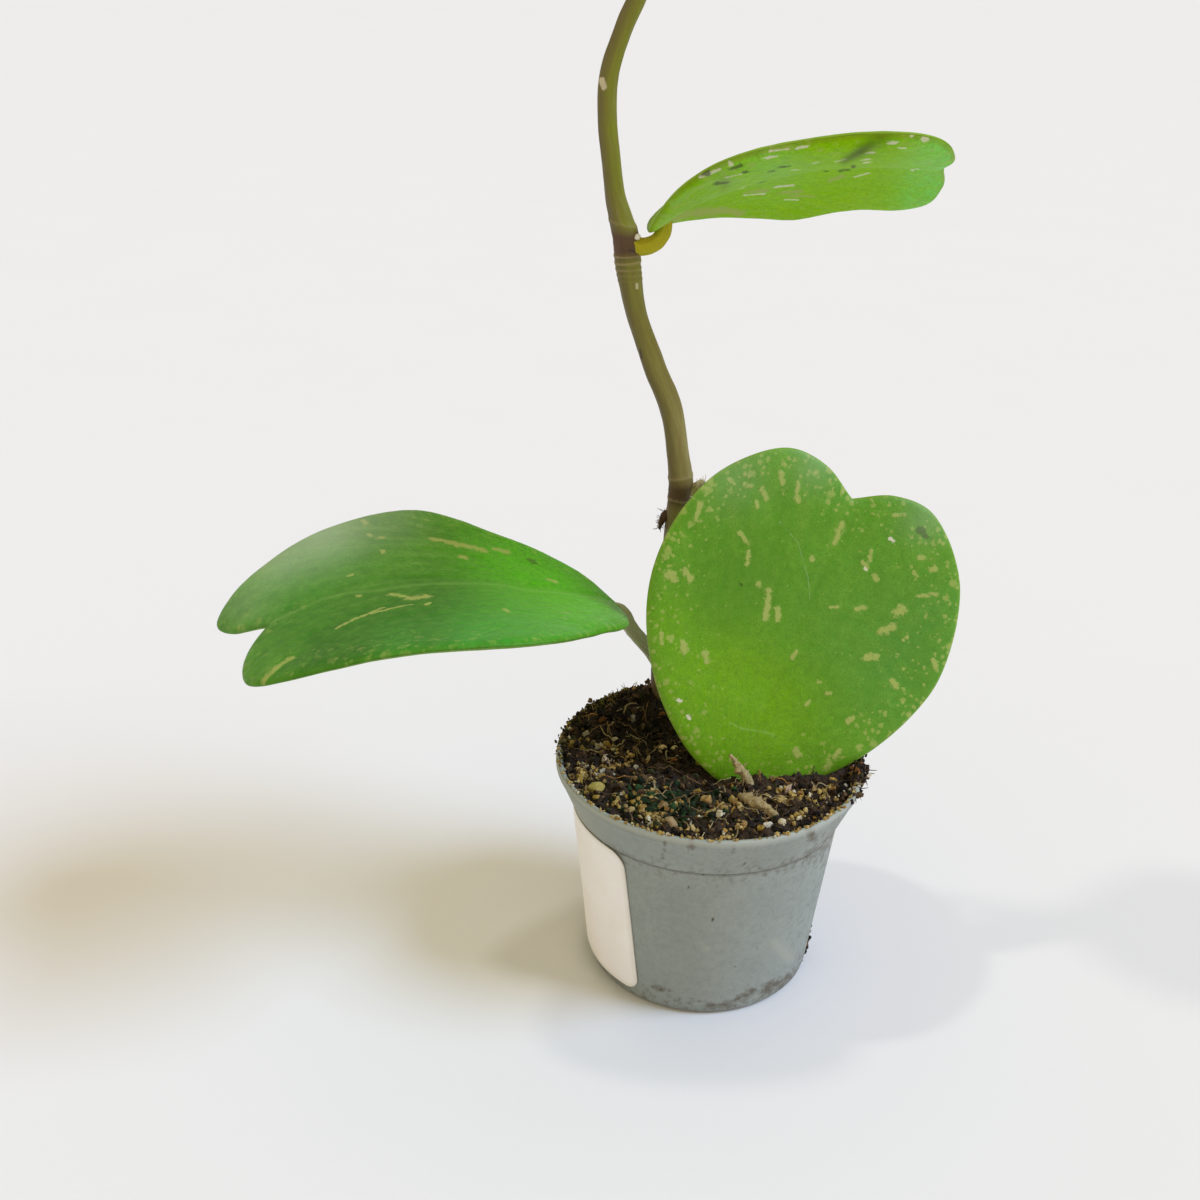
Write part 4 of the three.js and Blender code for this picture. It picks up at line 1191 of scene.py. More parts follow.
class HOYA_OT_label(bpy.types.Operator):
    """Adds the bare paper label on the pot's left side"""

    bl_idname = "hoya.label"
    bl_label = "Label"

    def execute(self, context):
        settings = context.scene.hoya_pot
        half, reach = LABEL["width"] / 2, (LABEL["top"] - LABEL["bottom"]) / 2
        across = half * np.sin(np.linspace(-pi / 2, pi / 2, LABEL_COLUMNS))
        into_corner = np.maximum(0, np.abs(across) - half + LABEL["corner"])
        reach = reach - LABEL["corner"] + np.sqrt(LABEL["corner"] ** 2 - into_corner**2)
        # Each section goes up the paper's outside and down its inside.
        rise = np.sin(np.linspace(-pi / 2, pi / 2, LABEL_ROWS))
        up = np.concatenate([rise, rise[::-1]]) * reach[:, None]
        outer = np.repeat([1, 0], LABEL_ROWS)
        wide = across[:, None] + 0 * up
        z = (LABEL["top"] + LABEL["bottom"]) / 2 + up
        flat = np.stack([wide, up, 0 * up], -1)
        cockle = (0.5 + 0.5 * noise(flat, LABEL["waves"], 21)) * settings.cockle / MM
        lifted = LABEL["lifted"] * (wide / half).clip(0, 1) ** 8 * (up / reach.max()).clip(0, 1) ** 8
        radius = outer_radius(z) + LABEL["gap"] + cockle + lifted + outer * LABEL["thickness"]
        turn = LABEL["azimuth"] + wide / outer_radius(z)
        points, faces = closed_skin(np.stack([radius * np.cos(turn), radius * np.sin(turn), z], -1))
        flat = np.vstack([flat.reshape(-1, 3), flat[0].mean(0), flat[-1].mean(0)])
        near_top = np.interp(flat[:, 0], across, reach) - np.abs(flat[:, 1])
        paint = {"flat": flat, "margin": np.minimum(half - np.abs(flat[:, 0]), near_top)}
        material = label_paper(settings)
        make_piece("bare_label", points, faces, material, "label_paper", ["pot_label"], paint, sharp=40)
        return {"FINISHED"}


# ---- Soil


def soil_level(x, y):
    """Height of the fill without its crumbs: a level with soft round mounds and dips, whose height falls
    off to WALL_SHARE of itself at the pot's wall."""
    heap = 0 * x
    for mx, my, rise, spread in SOIL_MOUNDS:
        heap = heap + rise * np.exp(-((x - mx) ** 2 + (y - my) ** 2) / spread**2)
    inside = ((SOIL_RADIUS - np.hypot(x, y)) / WALL_REACH).clip(0, 1)
    return SOIL_LEVEL + heap * (WALL_SHARE + (1 - WALL_SHARE) * inside)


def soil_top(x, y, lumps):
    """The level with its crumbs: cobbles of three sizes and soft noise, lower close to the pot's wall."""
    places = np.stack([x, y, 0 * x], -1)
    crumbs = sum(height * (cobbles(places, size, seed) - 0.5) for size, height, seed in SOIL_COBBLES)
    size, height, seed = SOIL_SWELL
    crumbs = crumbs + height * noise(places, size, seed)
    fade = ((SOIL_RADIUS - np.hypot(x, y)) / 1.5).clip(0.2, 1)
    return soil_level(x, y) + lumps * crumbs * fade


def on_soil(places, lumps, gap, lift):
    """Places moved in to at least the gap from the soil's edge, and put the lift above its surface."""
    outside = np.hypot(places[..., 0], places[..., 1]) / (SOIL_RADIUS - gap)
    x, y = (places[..., k] / np.maximum(outside, 1) for k in (0, 1))
    return np.stack([x, y, soil_top(x, y, lumps) + lift], -1)


def bell(x, y, mx, my, reach, wide=1):
    """A bell curve round a spot: 1 at the spot, and wide times as far across as along."""
    return np.exp(-(((x - mx) / (wide * reach)) ** 2) - ((y - my) / reach) ** 2)


def disc_grid(count):
    """A square grid pressed round into a disc of radius 1: each square ring of it becomes a circle."""
    a, b = np.meshgrid(*[np.linspace(-1, 1, count)] * 2, indexing="ij")
    wide = np.abs(a) > np.abs(b)
    reach = np.where(wide, a, b)
    turn = np.where(wide, pi / 4 * b / np.where(wide, a, 1), pi / 2 - pi / 4 * a / np.where(wide, 1, b))
    return reach * np.cos(turn), reach * np.sin(turn)


class HOYA_OT_soil(bpy.types.Operator):
    """Adds the potting soil, from its crumbly surface down the inside of the pot to its floor"""

    bl_idname = "hoya.soil"
    bl_label = "Soil"

    def execute(self, context):
        settings = context.scene.hoya_soil
        x, y = (SOIL_RADIUS * part for part in disc_grid(SOIL_GRID))
        top = np.stack([x, y, soil_top(x, y, settings.lumps / MM)], -1).reshape(-1, 3)
        corner = np.arange(SOIL_GRID**2).reshape(SOIL_GRID, SOIL_GRID)
        edge = np.concatenate([corner[0, :-1], corner[:-1, -1], corner[-1, :0:-1], corner[:0:-1, 0]])
        ways = unit(top[edge] * (1, 1, 0))
        gap, foot = SOIL_FOOT["gap"], BASE["floor"] + SOIL_FOOT["gap"]
        down = [(inner_radius(level) - gap, level) for level in (BAND["bottom"], foot + SOIL_FOOT["rise"])]
        down.append((inner_radius(foot) - SOIL_FOOT["inset"], foot))
        rings = np.stack([radius * ways + (0, 0, level) for radius, level in down])
        points = np.vstack([top, rings.reshape(-1, 3), [(0, 0, foot)]])
        below = SOIL_GRID**2 + np.arange(len(down) * len(edge)).reshape(len(down), -1)
        fan = np.stack([np.full(len(edge), len(points) - 1), np.roll(below[-1], -1), below[-1]], -1)
        walls = sheet_faces(np.vstack([edge, below]))
        faces = [sheet_faces(corner, closed=False), walls[:, ::-1], fan]
        x, y, z = points.T
        # Painted shade in the hollows below the level, and a patch of it at the back left.
        hollow = ((soil_level(x, y) - z) / 1.2).clip(0, 1)
        paint = {"moss": bell(x, y, *MOSS, 1.5), "hollow": np.maximum(hollow, 0.8 * bell(x, y, *BACK_LEFT_SHADE))}
        make_piece("peat_soil", points, faces, peat(settings), "soil", ["potting_soil"], paint)
        return {"FINISHED"}


CRUMB_DYES = [  # share of the crumbs, colour
    (0.3, "#2c2018"), (0.22, "#18120d"), (0.17, "#4b3726"), (0.09, "#6b5136"), (0.08, "#3c4020"),
    (0.06, "#94794f"), (0.05, "#b08f3f"), (0.015, "#9d6429"), (0.03, "#cbc1ab"), (0.015, "#b79c8b"),
]
GRAIN_DYES = [(0.4, "#b89a58"), (0.25, "#c9ae72"), (0.15, "#a5813c"), (0.1, "#d8cdb0"), (0.1, "#8f6b34")]
HEAP_DYES = [(0.35, "#2c2018"), (0.2, "#4b3726"), (0.2, "#5c5a26"), (0.15, "#7d7440"), (0.1, "#94794f")]
FIBRE_DYES = [(0.35, "#6f563a"), (0.3, "#3f2e1f"), (0.2, "#a18a60"), (0.1, "#c9b88f"), (0.05, "#a9763a")]


def dyes(draw, palette, count):
    """A random colour of the palette for each of count pieces, slightly lighter or darker."""
    shares = np.array([share for share, _ in palette])
    codes = np.array([linear(code) for _, code in palette])
    chosen = codes[draw.choice(len(palette), count, p=shares / shares.sum())]
    return chosen * draw.uniform(0.7, 1.25, (count, 1))


def on_disc(draw, count, radius):
    """Random places spread evenly over a disc."""
    reach, turn = radius * draw.uniform(0, 1, count) ** 0.5, draw.uniform(0, tau, count)
    return reach * np.cos(turn), reach * np.sin(turn)


def clear_of_plant(places, gap):
    """Whether each place is at least the gap off the front leaf's blade and off the foot of the stem."""
    outline = np.array([(0, 0)] + FRONT_LEAF["outline"][:4])
    x, y = np.meshgrid(np.linspace(-0.45, 0.45, 50), np.linspace(0, 0.4, 26))
    flat = np.stack([x, y], -1)[np.abs(x) < np.interp(y, outline[:, 1], outline[:, 0])]
    blade = on_blade(FRONT_LEAF, leaf_spine(FRONT_LEAF), flat * FRONT_LEAF["length"])
    stem = smooth_route(STEM_ROUTE[:4], 12)[:, :3]
    off_blade, off_stem = (
        np.linalg.norm(places[:, None] - solid, axis=-1).min(1) - half
        for solid, half in ((blade, FRONT_LEAF["thickness"] / 2), (stem, STEM_ROUTE[2][3]))
    )
    return np.minimum(off_blade, off_stem) > gap


def round_pot(turn, reach, z):
    """Places round the pot's axis."""
    return np.stack(np.broadcast_arrays(reach * np.cos(turn), reach * np.sin(turn), z), -1)


def scattered(draw, count, turn, reach, z):
    """Random places round the pot: turn, reach and height each have a mean and a spread."""
    return round_pot(*(draw.normal(*spread, count) for spread in (turn, reach, z)))


def spilt_crumbs(draw, lumps):
    """Crumbs that lie in one place, as groups of places, smallest and largest size, and dyes."""
    # Pale grains lie in clusters, most of them near the front of the rim.
    turn = draw.uniform(*GRAINS["turn"], GRAINS["clusters"])
    inmost, outmost = GRAINS["reach"]
    reach = outmost - (outmost - inmost) * draw.uniform(0, 1, GRAINS["clusters"]) ** 1.5
    grains = np.repeat(round_pot(turn, reach, 0.0), GRAINS["each"], axis=0)
    near = (GRAINS["near"], GRAINS["near"], 0)
    grains = on_soil(grains + draw.normal(size=grains.shape) * near, lumps, 0.3, 0.3)
    # Spilt crumbs: a clump that leans over the rim at the right, some on the rim, a heap over its back
    # left, some along the wall and a few stuck to the pot's foot.
    clump = scattered(draw, **CLUMP)
    turn = draw.uniform(*ON_RIM["turn"], ON_RIM["count"])
    rim = round_pot(turn, draw.normal(*ON_RIM["reach"], ON_RIM["count"]), ON_RIM["z"])
    heap = scattered(draw, **HEAP)
    wall = round_pot(draw.uniform(0, tau, AT_WALL["count"]), AT_WALL["reach"], AT_WALL["z"])
    wall += draw.normal(size=wall.shape) * AT_WALL["near"]
    wall[:, 2] += soil_level(*wall.T[:2]) - SOIL_LEVEL
    z = draw.uniform(*ON_FOOT["z"], ON_FOOT["count"])
    turn = draw.normal(*ON_FOOT["turn"], ON_FOOT["count"])
    foot = round_pot(turn, outer_radius(z) + ON_FOOT["gap"], z)
    return (
        (grains, (0.4, 1.5), GRAIN_DYES),
        (clump, (0.4, 1.7), CRUMB_DYES),
        (rim, (0.25, 0.9), GRAIN_DYES),
        (heap, (0.3, 1), HEAP_DYES),
        (wall, (0.4, 1.3), CRUMB_DYES),
        (foot, (0.3, 1), CRUMB_DYES),
    )


class HOYA_OT_crumbs(bpy.types.Operator):
    """Adds the loose crumbs on the soil, on the rim and where they have spilt over it"""

    bl_idname = "hoya.crumbs"
    bl_label = "Crumbs"

    def execute(self, context):
        settings = context.scene.hoya_soil
        lumps = settings.lumps / MM
        draw = np.random.default_rng(41)
        count = settings.crumbs
        x, y = on_disc(draw, count, SOIL_RADIUS - CRUMBS["edge"])
        smallest, spread = CRUMBS["size"]
        sizes = smallest + spread * draw.uniform(0, 1, count) ** 4.5
        places = on_soil(np.stack([x, y], -1), lumps, 0.3, 0.2 * sizes)
        dye = dyes(draw, CRUMB_DYES, count)
        green = draw.uniform(0, 1, count) < 0.8 * bell(x, y, *MOSS, 1.5)
        dye[green] = np.array(settings.moss) * draw.uniform(0.3, 1.6, (green.sum(), 1))
        # Painted shade darkens the crumbs at the back left.
        dye *= (1 - 0.65 * bell(x, y, *BACK_LEFT_SHADE))[:, None]
        for more, limits, palette in spilt_crumbs(draw, lumps):
            places = np.vstack([places, more])
            sizes = np.concatenate([sizes, draw.uniform(*limits, len(more))])
            dye = np.vstack([dye, dyes(draw, palette, len(more))])
        keep = clear_of_plant(places, 0.35 * sizes)
        points, faces = stones(places[keep], sizes[keep], 42, jag=0.8)
        paint = {"dye": np.repeat(dye[keep], len(points) // keep.sum(), axis=0)}
        material = dyed("dry_peat_crumbs", 0.9, 0.35, 0.12)
        make_piece("soil_crumbs", points, faces, material, "soil", (), paint, sharp=30)
        return {"FINISHED"}


class HOYA_OT_grit(bpy.types.Operator):
    """Adds the larger stones and the bark chip that lie on the soil"""

    bl_idname = "hoya.grit"
    bl_label = "Grit and bark chip"

    def execute(self, context):
        x, y, sizes = (np.array([stone[k] for stone in GRIT]) for k in range(3))
        places = np.stack([x, y, soil_level(x, y) + 0.15 * sizes], -1)
        form = {"rows": 14, "columns": 22, "flatness": 0.8, "jag": 0.3, "lean": 0.25}
        points, faces = stones(places, 1.12 * sizes, 51, **form)
        dye = np.repeat([linear(stone[3]) for stone in GRIT], len(points) // len(GRIT), axis=0)
        nodes = [f"grit_{k + 1:02d}" for k in range(len(GRIT))]
        material = dyed("weathered_grit", 0.85, 0.3, 0.08, "#7c6648")
        make_piece("grit_stones", points, faces, material, "grit", nodes, {"dye": dye})
        x, y, width = (np.array([value]) for value in BARK_CHIP)
        place = np.stack([x, y, soil_level(x, y) + 0.15 * width], -1)
        points, faces = stones(place, 1.1 * width, 53, rows=16, columns=26, flatness=0.62, jag=0.5, lean=0.2)
        dye = np.tile(linear("#b08a52"), (len(points), 1))
        material = dyed("dry_bark", 0.85, 0.5, 0.15, "#5f4526")
        make_piece("bark_piece", points, faces, material, "bark", ["bark_chip"], {"dye": dye})
        return {"FINISHED"}


class HOYA_OT_fibres(bpy.types.Operator):
    """Adds the loose fibres and fine roots on the soil, and the ends that hang over the rim"""

    bl_idname = "hoya.fibres"
    bl_label = "Fibres"

    def execute(self, context):
        settings = context.scene.hoya_soil
        lumps = settings.lumps / MM
        draw = np.random.default_rng(61)
        count = settings.fibres
        x, y = on_disc(draw, count, SOIL_RADIUS - FIBRES["edge"])
        ways = unit(draw.normal(size=(count, 3)) * (1, 1, 0.05))
        starts = np.stack([x, y, 0 * x], -1)
        paths = wandering(draw, starts, ways, draw.uniform(*FIBRES["length"], count), curl=0.7)
        low, rise = FIBRES["hump"]
        hump = low + rise * draw.uniform(0, 1, (count, 1)) * np.sin(np.linspace(0, pi, paths.shape[1]))
        paths = on_soil(paths, lumps, 0.4, hump)
        width = draw.uniform(*FIBRES["width"], count)
        # Tufts that stand up at the back left, and ends that hang over the rim at the right.
        count = TUFTS["count"]
        tuft = on_soil(TUFTS["place"] + draw.normal(size=(count, 3)) * TUFTS["near"], lumps, 0.8, 0)
        ways = unit(draw.normal(size=(count, 3)) * (1, 1, 0.4) + (0, 0, 0.7))
        tufts = wandering(draw, tuft, ways, draw.uniform(*TUFTS["length"], count), curl=0.9)
        count = HANGING["count"]
        turn = draw.normal(*HANGING["turn"], count)
        hang = round_pot(turn, HANGING["reach"], HANGING["z"] + draw.normal(0, HANGING["near"], count))
        ways = unit(draw.normal(size=(count, 3)) * 0.6 + (1, -0.1, -0.5))
        hanging = wandering(draw, hang, ways, draw.uniform(*HANGING["length"], count), curl=0.8)
        paths = np.vstack([paths, tufts, hanging])
        width = np.concatenate([width, draw.uniform(*FINE_WIDTH, len(tufts) + len(hanging))])
        points, faces = threads(paths, width)
        dye = np.repeat(dyes(draw, FIBRE_DYES, len(paths)), len(points) // len(paths), axis=0)
        material = dyed("dry_plant_fibres", 0.85, 0.4, 0.05)
        make_piece("soil_fibres", points, faces, material, "soil", (), {"dye": dye})
        return {"FINISHED"}


# ---- Stem and stubs


def stem_rings(z, across):
    """How far the rings round the stem stand out: bell curves of the height, each tilted across."""
    total = 0
    for height, width, out, tilt in STEM_RINGS:
        total = total + out * hill((z - height - tilt * across) / width)
    return total


class HOYA_OT_stem(bpy.types.Operator):
    """Adds the climbing stem with its swollen joints, ring scars and bead of dried sap"""

    bl_idname = "hoya.stem"
    bl_label = "Stem"

    def execute(self, context):
        settings = context.scene.hoya_stem
        rings, ways, gone = tube(STEM_ROUTE, STEM_STEPS, STEM_SIDES)
        turn = np.arange(STEM_SIDES) * tau / STEM_SIDES
        z = rings[..., 2]
        girth = [STEM_RADIUS * np.cos(turn) + 0 * z, STEM_RADIUS * np.sin(turn) + 0 * z]
        grain = np.stack([*girth, gone[:, None] / STEM_GRAIN + 0 * z], -1)
        node = sum(hill((z - height) / NODE_REACH["bumps"]) for height in NODE_HEIGHTS)
        lift = settings.bark / MM * (rough(grain, 0.9, 31, 3) + 0.8 * noise(grain, 2.2, 35))
        lift += 0.1 * node * rough(rings, 1.3, 37, 3) + stem_rings(z, ways[..., 0])
        smooth, over = SMOOTH_TIP
        fade = ((smooth - z) / over).clip(0, 1)
        points, faces = closed_skin(rings + (lift * fade)[..., None] * ways)
        normals = np.vstack([ways.reshape(-1, 3), (0, 0, -1), (0, 0, 1)])
        seen = seen_at(points)
        facing = (normals @ camera_axes()[2] < 0) * 1.0
        z = points[:, 2]
        young, over = YOUNG_STEM
        paint = {key: strokes(seen, lines) * facing for key, lines in STEM_MARKS.items()}
        paint |= {
            "grain": np.vstack([grain.reshape(-1, 3), grain[0].mean(0), grain[-1].mean(0)]),
            "young": ((z - young) / over).clip(0, 1),
            # Painted shade on the side turned away from the key light.
            "left": (-normals[:, 0] - 0.35 * normals[:, 1]).clip(0, 1),
            "node": sum(hill((z - height) / NODE_REACH["colour"]) for height in NODE_HEIGHTS),
            "ring": (stem_rings(z, normals[:, 0]) / RING_HEIGHT).clip(0, 1),
        }
        make_piece("stem_bark", points, faces, stem_skin(settings), "stem_skin", ["main_stem"], paint)
        # The bead sits on the point of the stem that the camera sees nearest to its place.
        nearest = (np.linalg.norm(seen - SAP_BEAD, axis=1) + IMAGE * (1 - facing)).argmin()
        spot = points[nearest] + 0.15 * normals[nearest]
        bead, faces = stones([spot], [SAP_SIZE], 77, rows=16, columns=24, flatness=0.8, jag=0.08, lean=0.3)
        make_piece("sap_bead", bead, faces, dried_sap(), "dry_stub")
        return {"FINISHED"}


STUBS = [  # piece, CAD node, slot, route, unevenness, colour, reference for its rings
    ("old_stalk_end", "old_leaf_stub", "dry_stub", OLD_LEAF_STUB, 0.22, "#c4b489", (0, 1, 0)),
    ("dark_root_end", "root_stub", "dark_root", ROOT_STUB, 0.2, "#4a3327", (0, 1, 0)),
    ("pale_root_end", "leaf_root", "pale_root", LEAF_ROOT, 0.45, "#b9a679", (0, 1, 0)),
    ("root_lump", "rootlet_chunk", "pale_root", ROOTLET_CHUNK, 0.5, "#a8936a", (0, 0, 1)),
]
STUB_SIDES, STUB_STEPS = 28, 16
HAIRS = {"count": 36, "length": (0.5, 1.9), "width": (0.08, 0.16), "root": 0.15}


class HOYA_OT_stubs(bpy.types.Operator):
    """Adds the old leaf stalk's end, the root stubs and the fibrous root lump, each with its fine hairs"""

    bl_idname = "hoya.stubs"
    bl_label = "Stubs and roots"

    def execute(self, context):
        draw = np.random.default_rng(71)
        for name, node, slot, route, unevenness, code, reference in STUBS:
            rings, ways, _ = tube(route, STUB_STEPS, STUB_SIDES, reference)
            rings = rings + unevenness * rough(rings * (1, 1, 0.5), 0.8, 73, 3)[..., None] * ways
            row = draw.integers(4, len(rings) - 2, HAIRS["count"])
            side = draw.integers(0, STUB_SIDES, HAIRS["count"])
            roots = rings[row, side] - HAIRS["root"] * ways[row, side]
            length = draw.uniform(*HAIRS["length"], HAIRS["count"])
            hairs = wandering(draw, roots, ways[row, side], length, curl=0.9)
            body, body_faces = closed_skin(rings)
            fuzz, fuzz_faces = threads(hairs, draw.uniform(*HAIRS["width"], HAIRS["count"]))
            points, faces = joined((body, outward(body, body_faces)), (fuzz, outward(fuzz, fuzz_faces)))
            lighter = np.where(np.arange(len(points)) < len(body), 1, 1.25)
            tone = (1 + 0.25 * rough(points, 0.9, 75, 3)) * lighter
            material = dyed(f"dry_{name}", 0.8, 0.3, 0.08, "#5a4630")
            paint = {"dye": np.array(linear(code)) * tone[:, None]}
            make_piece(name, points, faces, material, slot, [node], paint)
        return {"FINISHED"}


# ---- Leaves


def leaf_spine(leaf):
    """The midrib: at each of its steps, the place and the sideways, lengthwise and upward directions. Each
    step turns the three by the leaf's arch, sweep and twist, and goes on along the mean direction."""
    yaw, pitch, roll = (radians(leaf[key]) for key in ("yaw", "pitch", "roll"))
    along = np.array([cos(yaw) * cos(pitch), sin(yaw) * cos(pitch), sin(pitch)])
    side = np.array(Matrix.Rotation(-roll, 3, Vector(along)) @ Vector((sin(yaw), -cos(yaw), 0)))
    rows = [np.array([leaf["base"], side, along, np.cross(side, along)])]
    for k in range(MIDRIB_STEPS):
        place, side, along, up = rows[-1]
        bend = np.interp(k + 0.5, (0, MIDRIB_STEPS), leaf["arch"])
        turn = np.radians(bend * side + leaf["sweep"] * up + leaf["twist"] * along) / MIDRIB_STEPS
        turned = rows[-1][1:] @ np.array(Matrix.Rotation(np.linalg.norm(turn), 3, Vector(turn))).T
        move = (along + turned[1]) / 2 * leaf["length"] / MIDRIB_STEPS
        rows.append(np.vstack([[place + move], turned]))
    return np.array(rows)


def on_blade(leaf, spine, flat):
    """Carries flat places, across and along, onto the curved leaf. At its share of the length, each half
    leaves the midrib at its rise and bends on by its curl, on an arc, with the fold at the midrib rounded."""
    length = leaf["length"]
    share = (flat[..., 1] / length).clip(0, 1)
    step = share * MIDRIB_STEPS
    index = np.minimum(step.astype(int), MIDRIB_STEPS - 1)
    part = (step - index)[..., None, None]
    here = spine[index] * (1 - part) + spine[index + 1] * part
    place, side, along, up = (here[..., k, :] for k in range(4))
    to_right = 0.5 + 0.5 * np.tanh(flat[..., 0] / (CREASE / 2))
    turns = []
    for key in ("rise", "curl"):
        left, right = (np.radians(np.interp(share, (0, 1), leaf[half][key])) for half in ("left", "right"))
        turns.append(left + (right - left) * to_right)
    rise, curl = turns[0], turns[1] / length
    curl = np.where(np.abs(curl) < TINY, TINY, curl)
    out = np.abs(flat[..., 0])
    slope = rise + curl * out
    across = np.sign(flat[..., 0]) * (np.sin(slope) - np.sin(rise)) / curl
    height = (np.cos(rise) - np.cos(slope)) / curl - np.sin(rise) * out
    height = height + np.sin(rise) * (np.sqrt(out**2 + CREASE**2) - CREASE)
    beyond = flat[..., 1] - share * length
    return place + beyond[..., None] * along + across[..., None] * side + height[..., None] * up


def blade_normals(leaf, spine, flat, step=0.4):
    """Upward directions of the blade, from the places a small step to each side and along."""
    side = on_blade(leaf, spine, flat + (step, 0)) - on_blade(leaf, spine, flat - (step, 0))
    along = on_blade(leaf, spine, flat + (0, step)) - on_blade(leaf, spine, flat - (0, step))
    return unit(np.cross(side, along))


def blade_paint(leaf, rings, flat, face, margin):
    """The blade's marks and pools, its flat places, how far they are from the rim, and its underside."""
    x, y, length = flat[..., 0], flat[..., 1], leaf["length"]
    spray = (np.arctan2(x, y + 0.05 * length) * 26, np.hypot(x, y) / 16, 3 * face)
    seen = seen_at(rings)
    front, spots = seen[face > 0], flat[face > 0]
    paint = {}
    for key in MARKS:
        lines = laid_out(front, spots, leaf["marks"].get(key, ()), leaf["slant"])
        paint[key] = face * strokes(flat, lines, 1)
    # Pools of painted light and shade, at their seen places.
    paint |= {key: face * pools(seen, leaf["pools"].get(key, ())) for key in POOLS}
    paint |= {
        "flat": np.concatenate([flat, 5 * face[..., None]], -1),
        "spray": np.stack(spray, -1),
        "margin": margin,
        "under": (1 - face) * (0.4 + 0.6 * (margin / 0.8).clip(0, 1)),
        "stalk": 0 * x,
        "joint": 0 * x,
    }
    return paint


def leaf_blade(leaf):
    """The closed leaf: rings of its heart outline shrink towards its middle on the upper side and again on
    the lower side, each lifted from the middle sheet by half the thickness, which falls off at the rim."""
    length = leaf["length"]
    half = smooth_route([(0, 0)] + leaf["outline"], OUTLINE_STEPS)
    right, left = half * (leaf["right"]["width"], 1), half[-2:0:-1] * (-leaf["left"]["width"], 1)
    heart = np.vstack([right, left]) * length
    middle = np.array([0, length / 2])
    inside = np.linspace(0, RIM_SHARE, RINGS_INSIDE, endpoint=False)
    rim = RIM_SHARE + (1 - RIM_SHARE) * np.sin(np.linspace(0, pi / 2, RINGS_AT_RIM))
    out = np.concatenate([inside, rim])
    share = np.concatenate([out, out[-2::-1]])[:, None]
    way = np.concatenate([np.ones(len(out)), -np.ones(len(out) - 1)])[:, None]
    flat = middle + share[..., None] * (heart - middle)
    spine = leaf_spine(leaf)
    sheet, up = on_blade(leaf, spine, flat), blade_normals(leaf, spine, flat)
    x, y = flat[..., 0], flat[..., 1]
    face = (way * leaf["face"] > 0) + 0 * x
    places = np.concatenate([flat, 0 * x[..., None]], -1)
    fade = (1 - y / length).clip(0, 1) ** 0.7
    rib = RIB["height"] * hill(x / RIB["reach"])
    furrow = FURROW["depth"] * hill(x / FURROW["reach"])
    lift = leaf["thickness"] / 2 + fade * np.where(face > 0, -furrow, rib)
    lift = way * (lift + 0.05 * rough(places + (0, 0, 9), 1.6, 85, 2))
    bulge = np.sqrt(np.maximum(0, 1 - share**RIM_POWER))
    lift = lift * bulge + WAVES["height"] * rough(places, WAVES["size"], 81, 2)
    rings = sheet + lift[..., None] * up
    margin = (1 - share) * np.linalg.norm(heart - middle, axis=1)
    paint = blade_paint(leaf, rings, flat, face, margin)
    # The first and last rings are single points, so they become the skin's two ends.
    paint = {
        key: np.concatenate([values[1:-1].reshape(-1, *values.shape[2:]), values[[0, -1], 0]])
        for key, values in paint.items()
    }
    points, faces = closed_skin(rings[1:-1], rings[0, 0], rings[-1, 0])
    return points, faces, paint


def leaf_stalk(leaf):
    """The leaf's stalk: a tube along its route with long shallow grooves, thicker where it joins the stem."""
    rings, ways, gone = tube(leaf["stalk"], STALK_STEPS, STALK_SIDES)
    turn = np.arange(STALK_SIDES) * tau / STALK_SIDES
    end = (np.arange(len(rings)) / (len(rings) - 1))[:, None]
    groove = sum(depth * np.cos(count * turn + start) for count, depth, start in STALK_GROOVES)
    joint = hill(end / STALK_JOINT["share"])
    lift = groove * (1 - end**3) + STALK_JOINT["height"] * joint + 0.05 * rough(rings, 1.1, 91, 3)
    points, faces = closed_skin(rings + lift[..., None] * ways)
    flat = np.stack([1.4 * turn + 0 * end, gone[:, None] + 0 * turn, 20 + 0 * end * turn], -1)
    flat = np.vstack([flat.reshape(-1, 3), flat[0, 0], flat[-1, 0]])
    blank = np.zeros(len(points))
    paint = {key: blank for key in (*MARKS, *POOLS, "under")}
    paint |= {"flat": flat, "spray": flat * (3, 0.2, 1), "margin": blank + 20, "stalk": blank + 1}
    paint["joint"] = np.concatenate([(joint + 0 * turn).ravel(), [1, 0]])
    return points, faces, paint


# Each leaf's colours include those of its painted glow and painted teal sheen (cool); the front leaf's
# lighter rim is painted light showing through its edge.
LEAF_LOOKS = {  # each leaf's own colours, and how strongly its marks show
    "leaf_front": {
        "deep": "#4f8416", "light": "#80a834", "dark": "#3c6a10", "rim": "#86a83a", "glow": "#72a800",
        "cool": "#5a9a44", "stalk": "#7d8a44", "joint": "#5b4a34",
        "strength": {
            "speckle": 0.62, "splash": 0.9, "scratch": 0.3, "vein": 0.35, "grain": 0.9, "fleck": 0.75,
        },
    },
    "leaf_left": {
        "deep": "#286604", "light": "#80b24c", "dark": "#2a5c08", "rim": "#4f8418", "glow": "#54b400",
        "cool": "#2f9628", "stalk": "#b2b48a", "joint": "#5a4632",
        "strength": {
            "speckle": 0.2, "splash": 0.75, "scratch": 0.35, "vein": 0.14, "grain": 0.9, "fleck": 0.6,
        },
    },
    "leaf_upper": {
        "deep": "#629600", "light": "#a8d208", "dark": "#5a8400", "rim": "#7c8c20", "glow": "#8cc600",
        "cool": "#7cda5c", "stalk": "#b4aa2c", "joint": "#6a4f34",
        "strength": {
            "speckle": 0.3, "splash": 0.8, "scratch": 0.35, "vein": 0.3, "grain": 0.75, "fleck": 0.8,
        },
    },
}
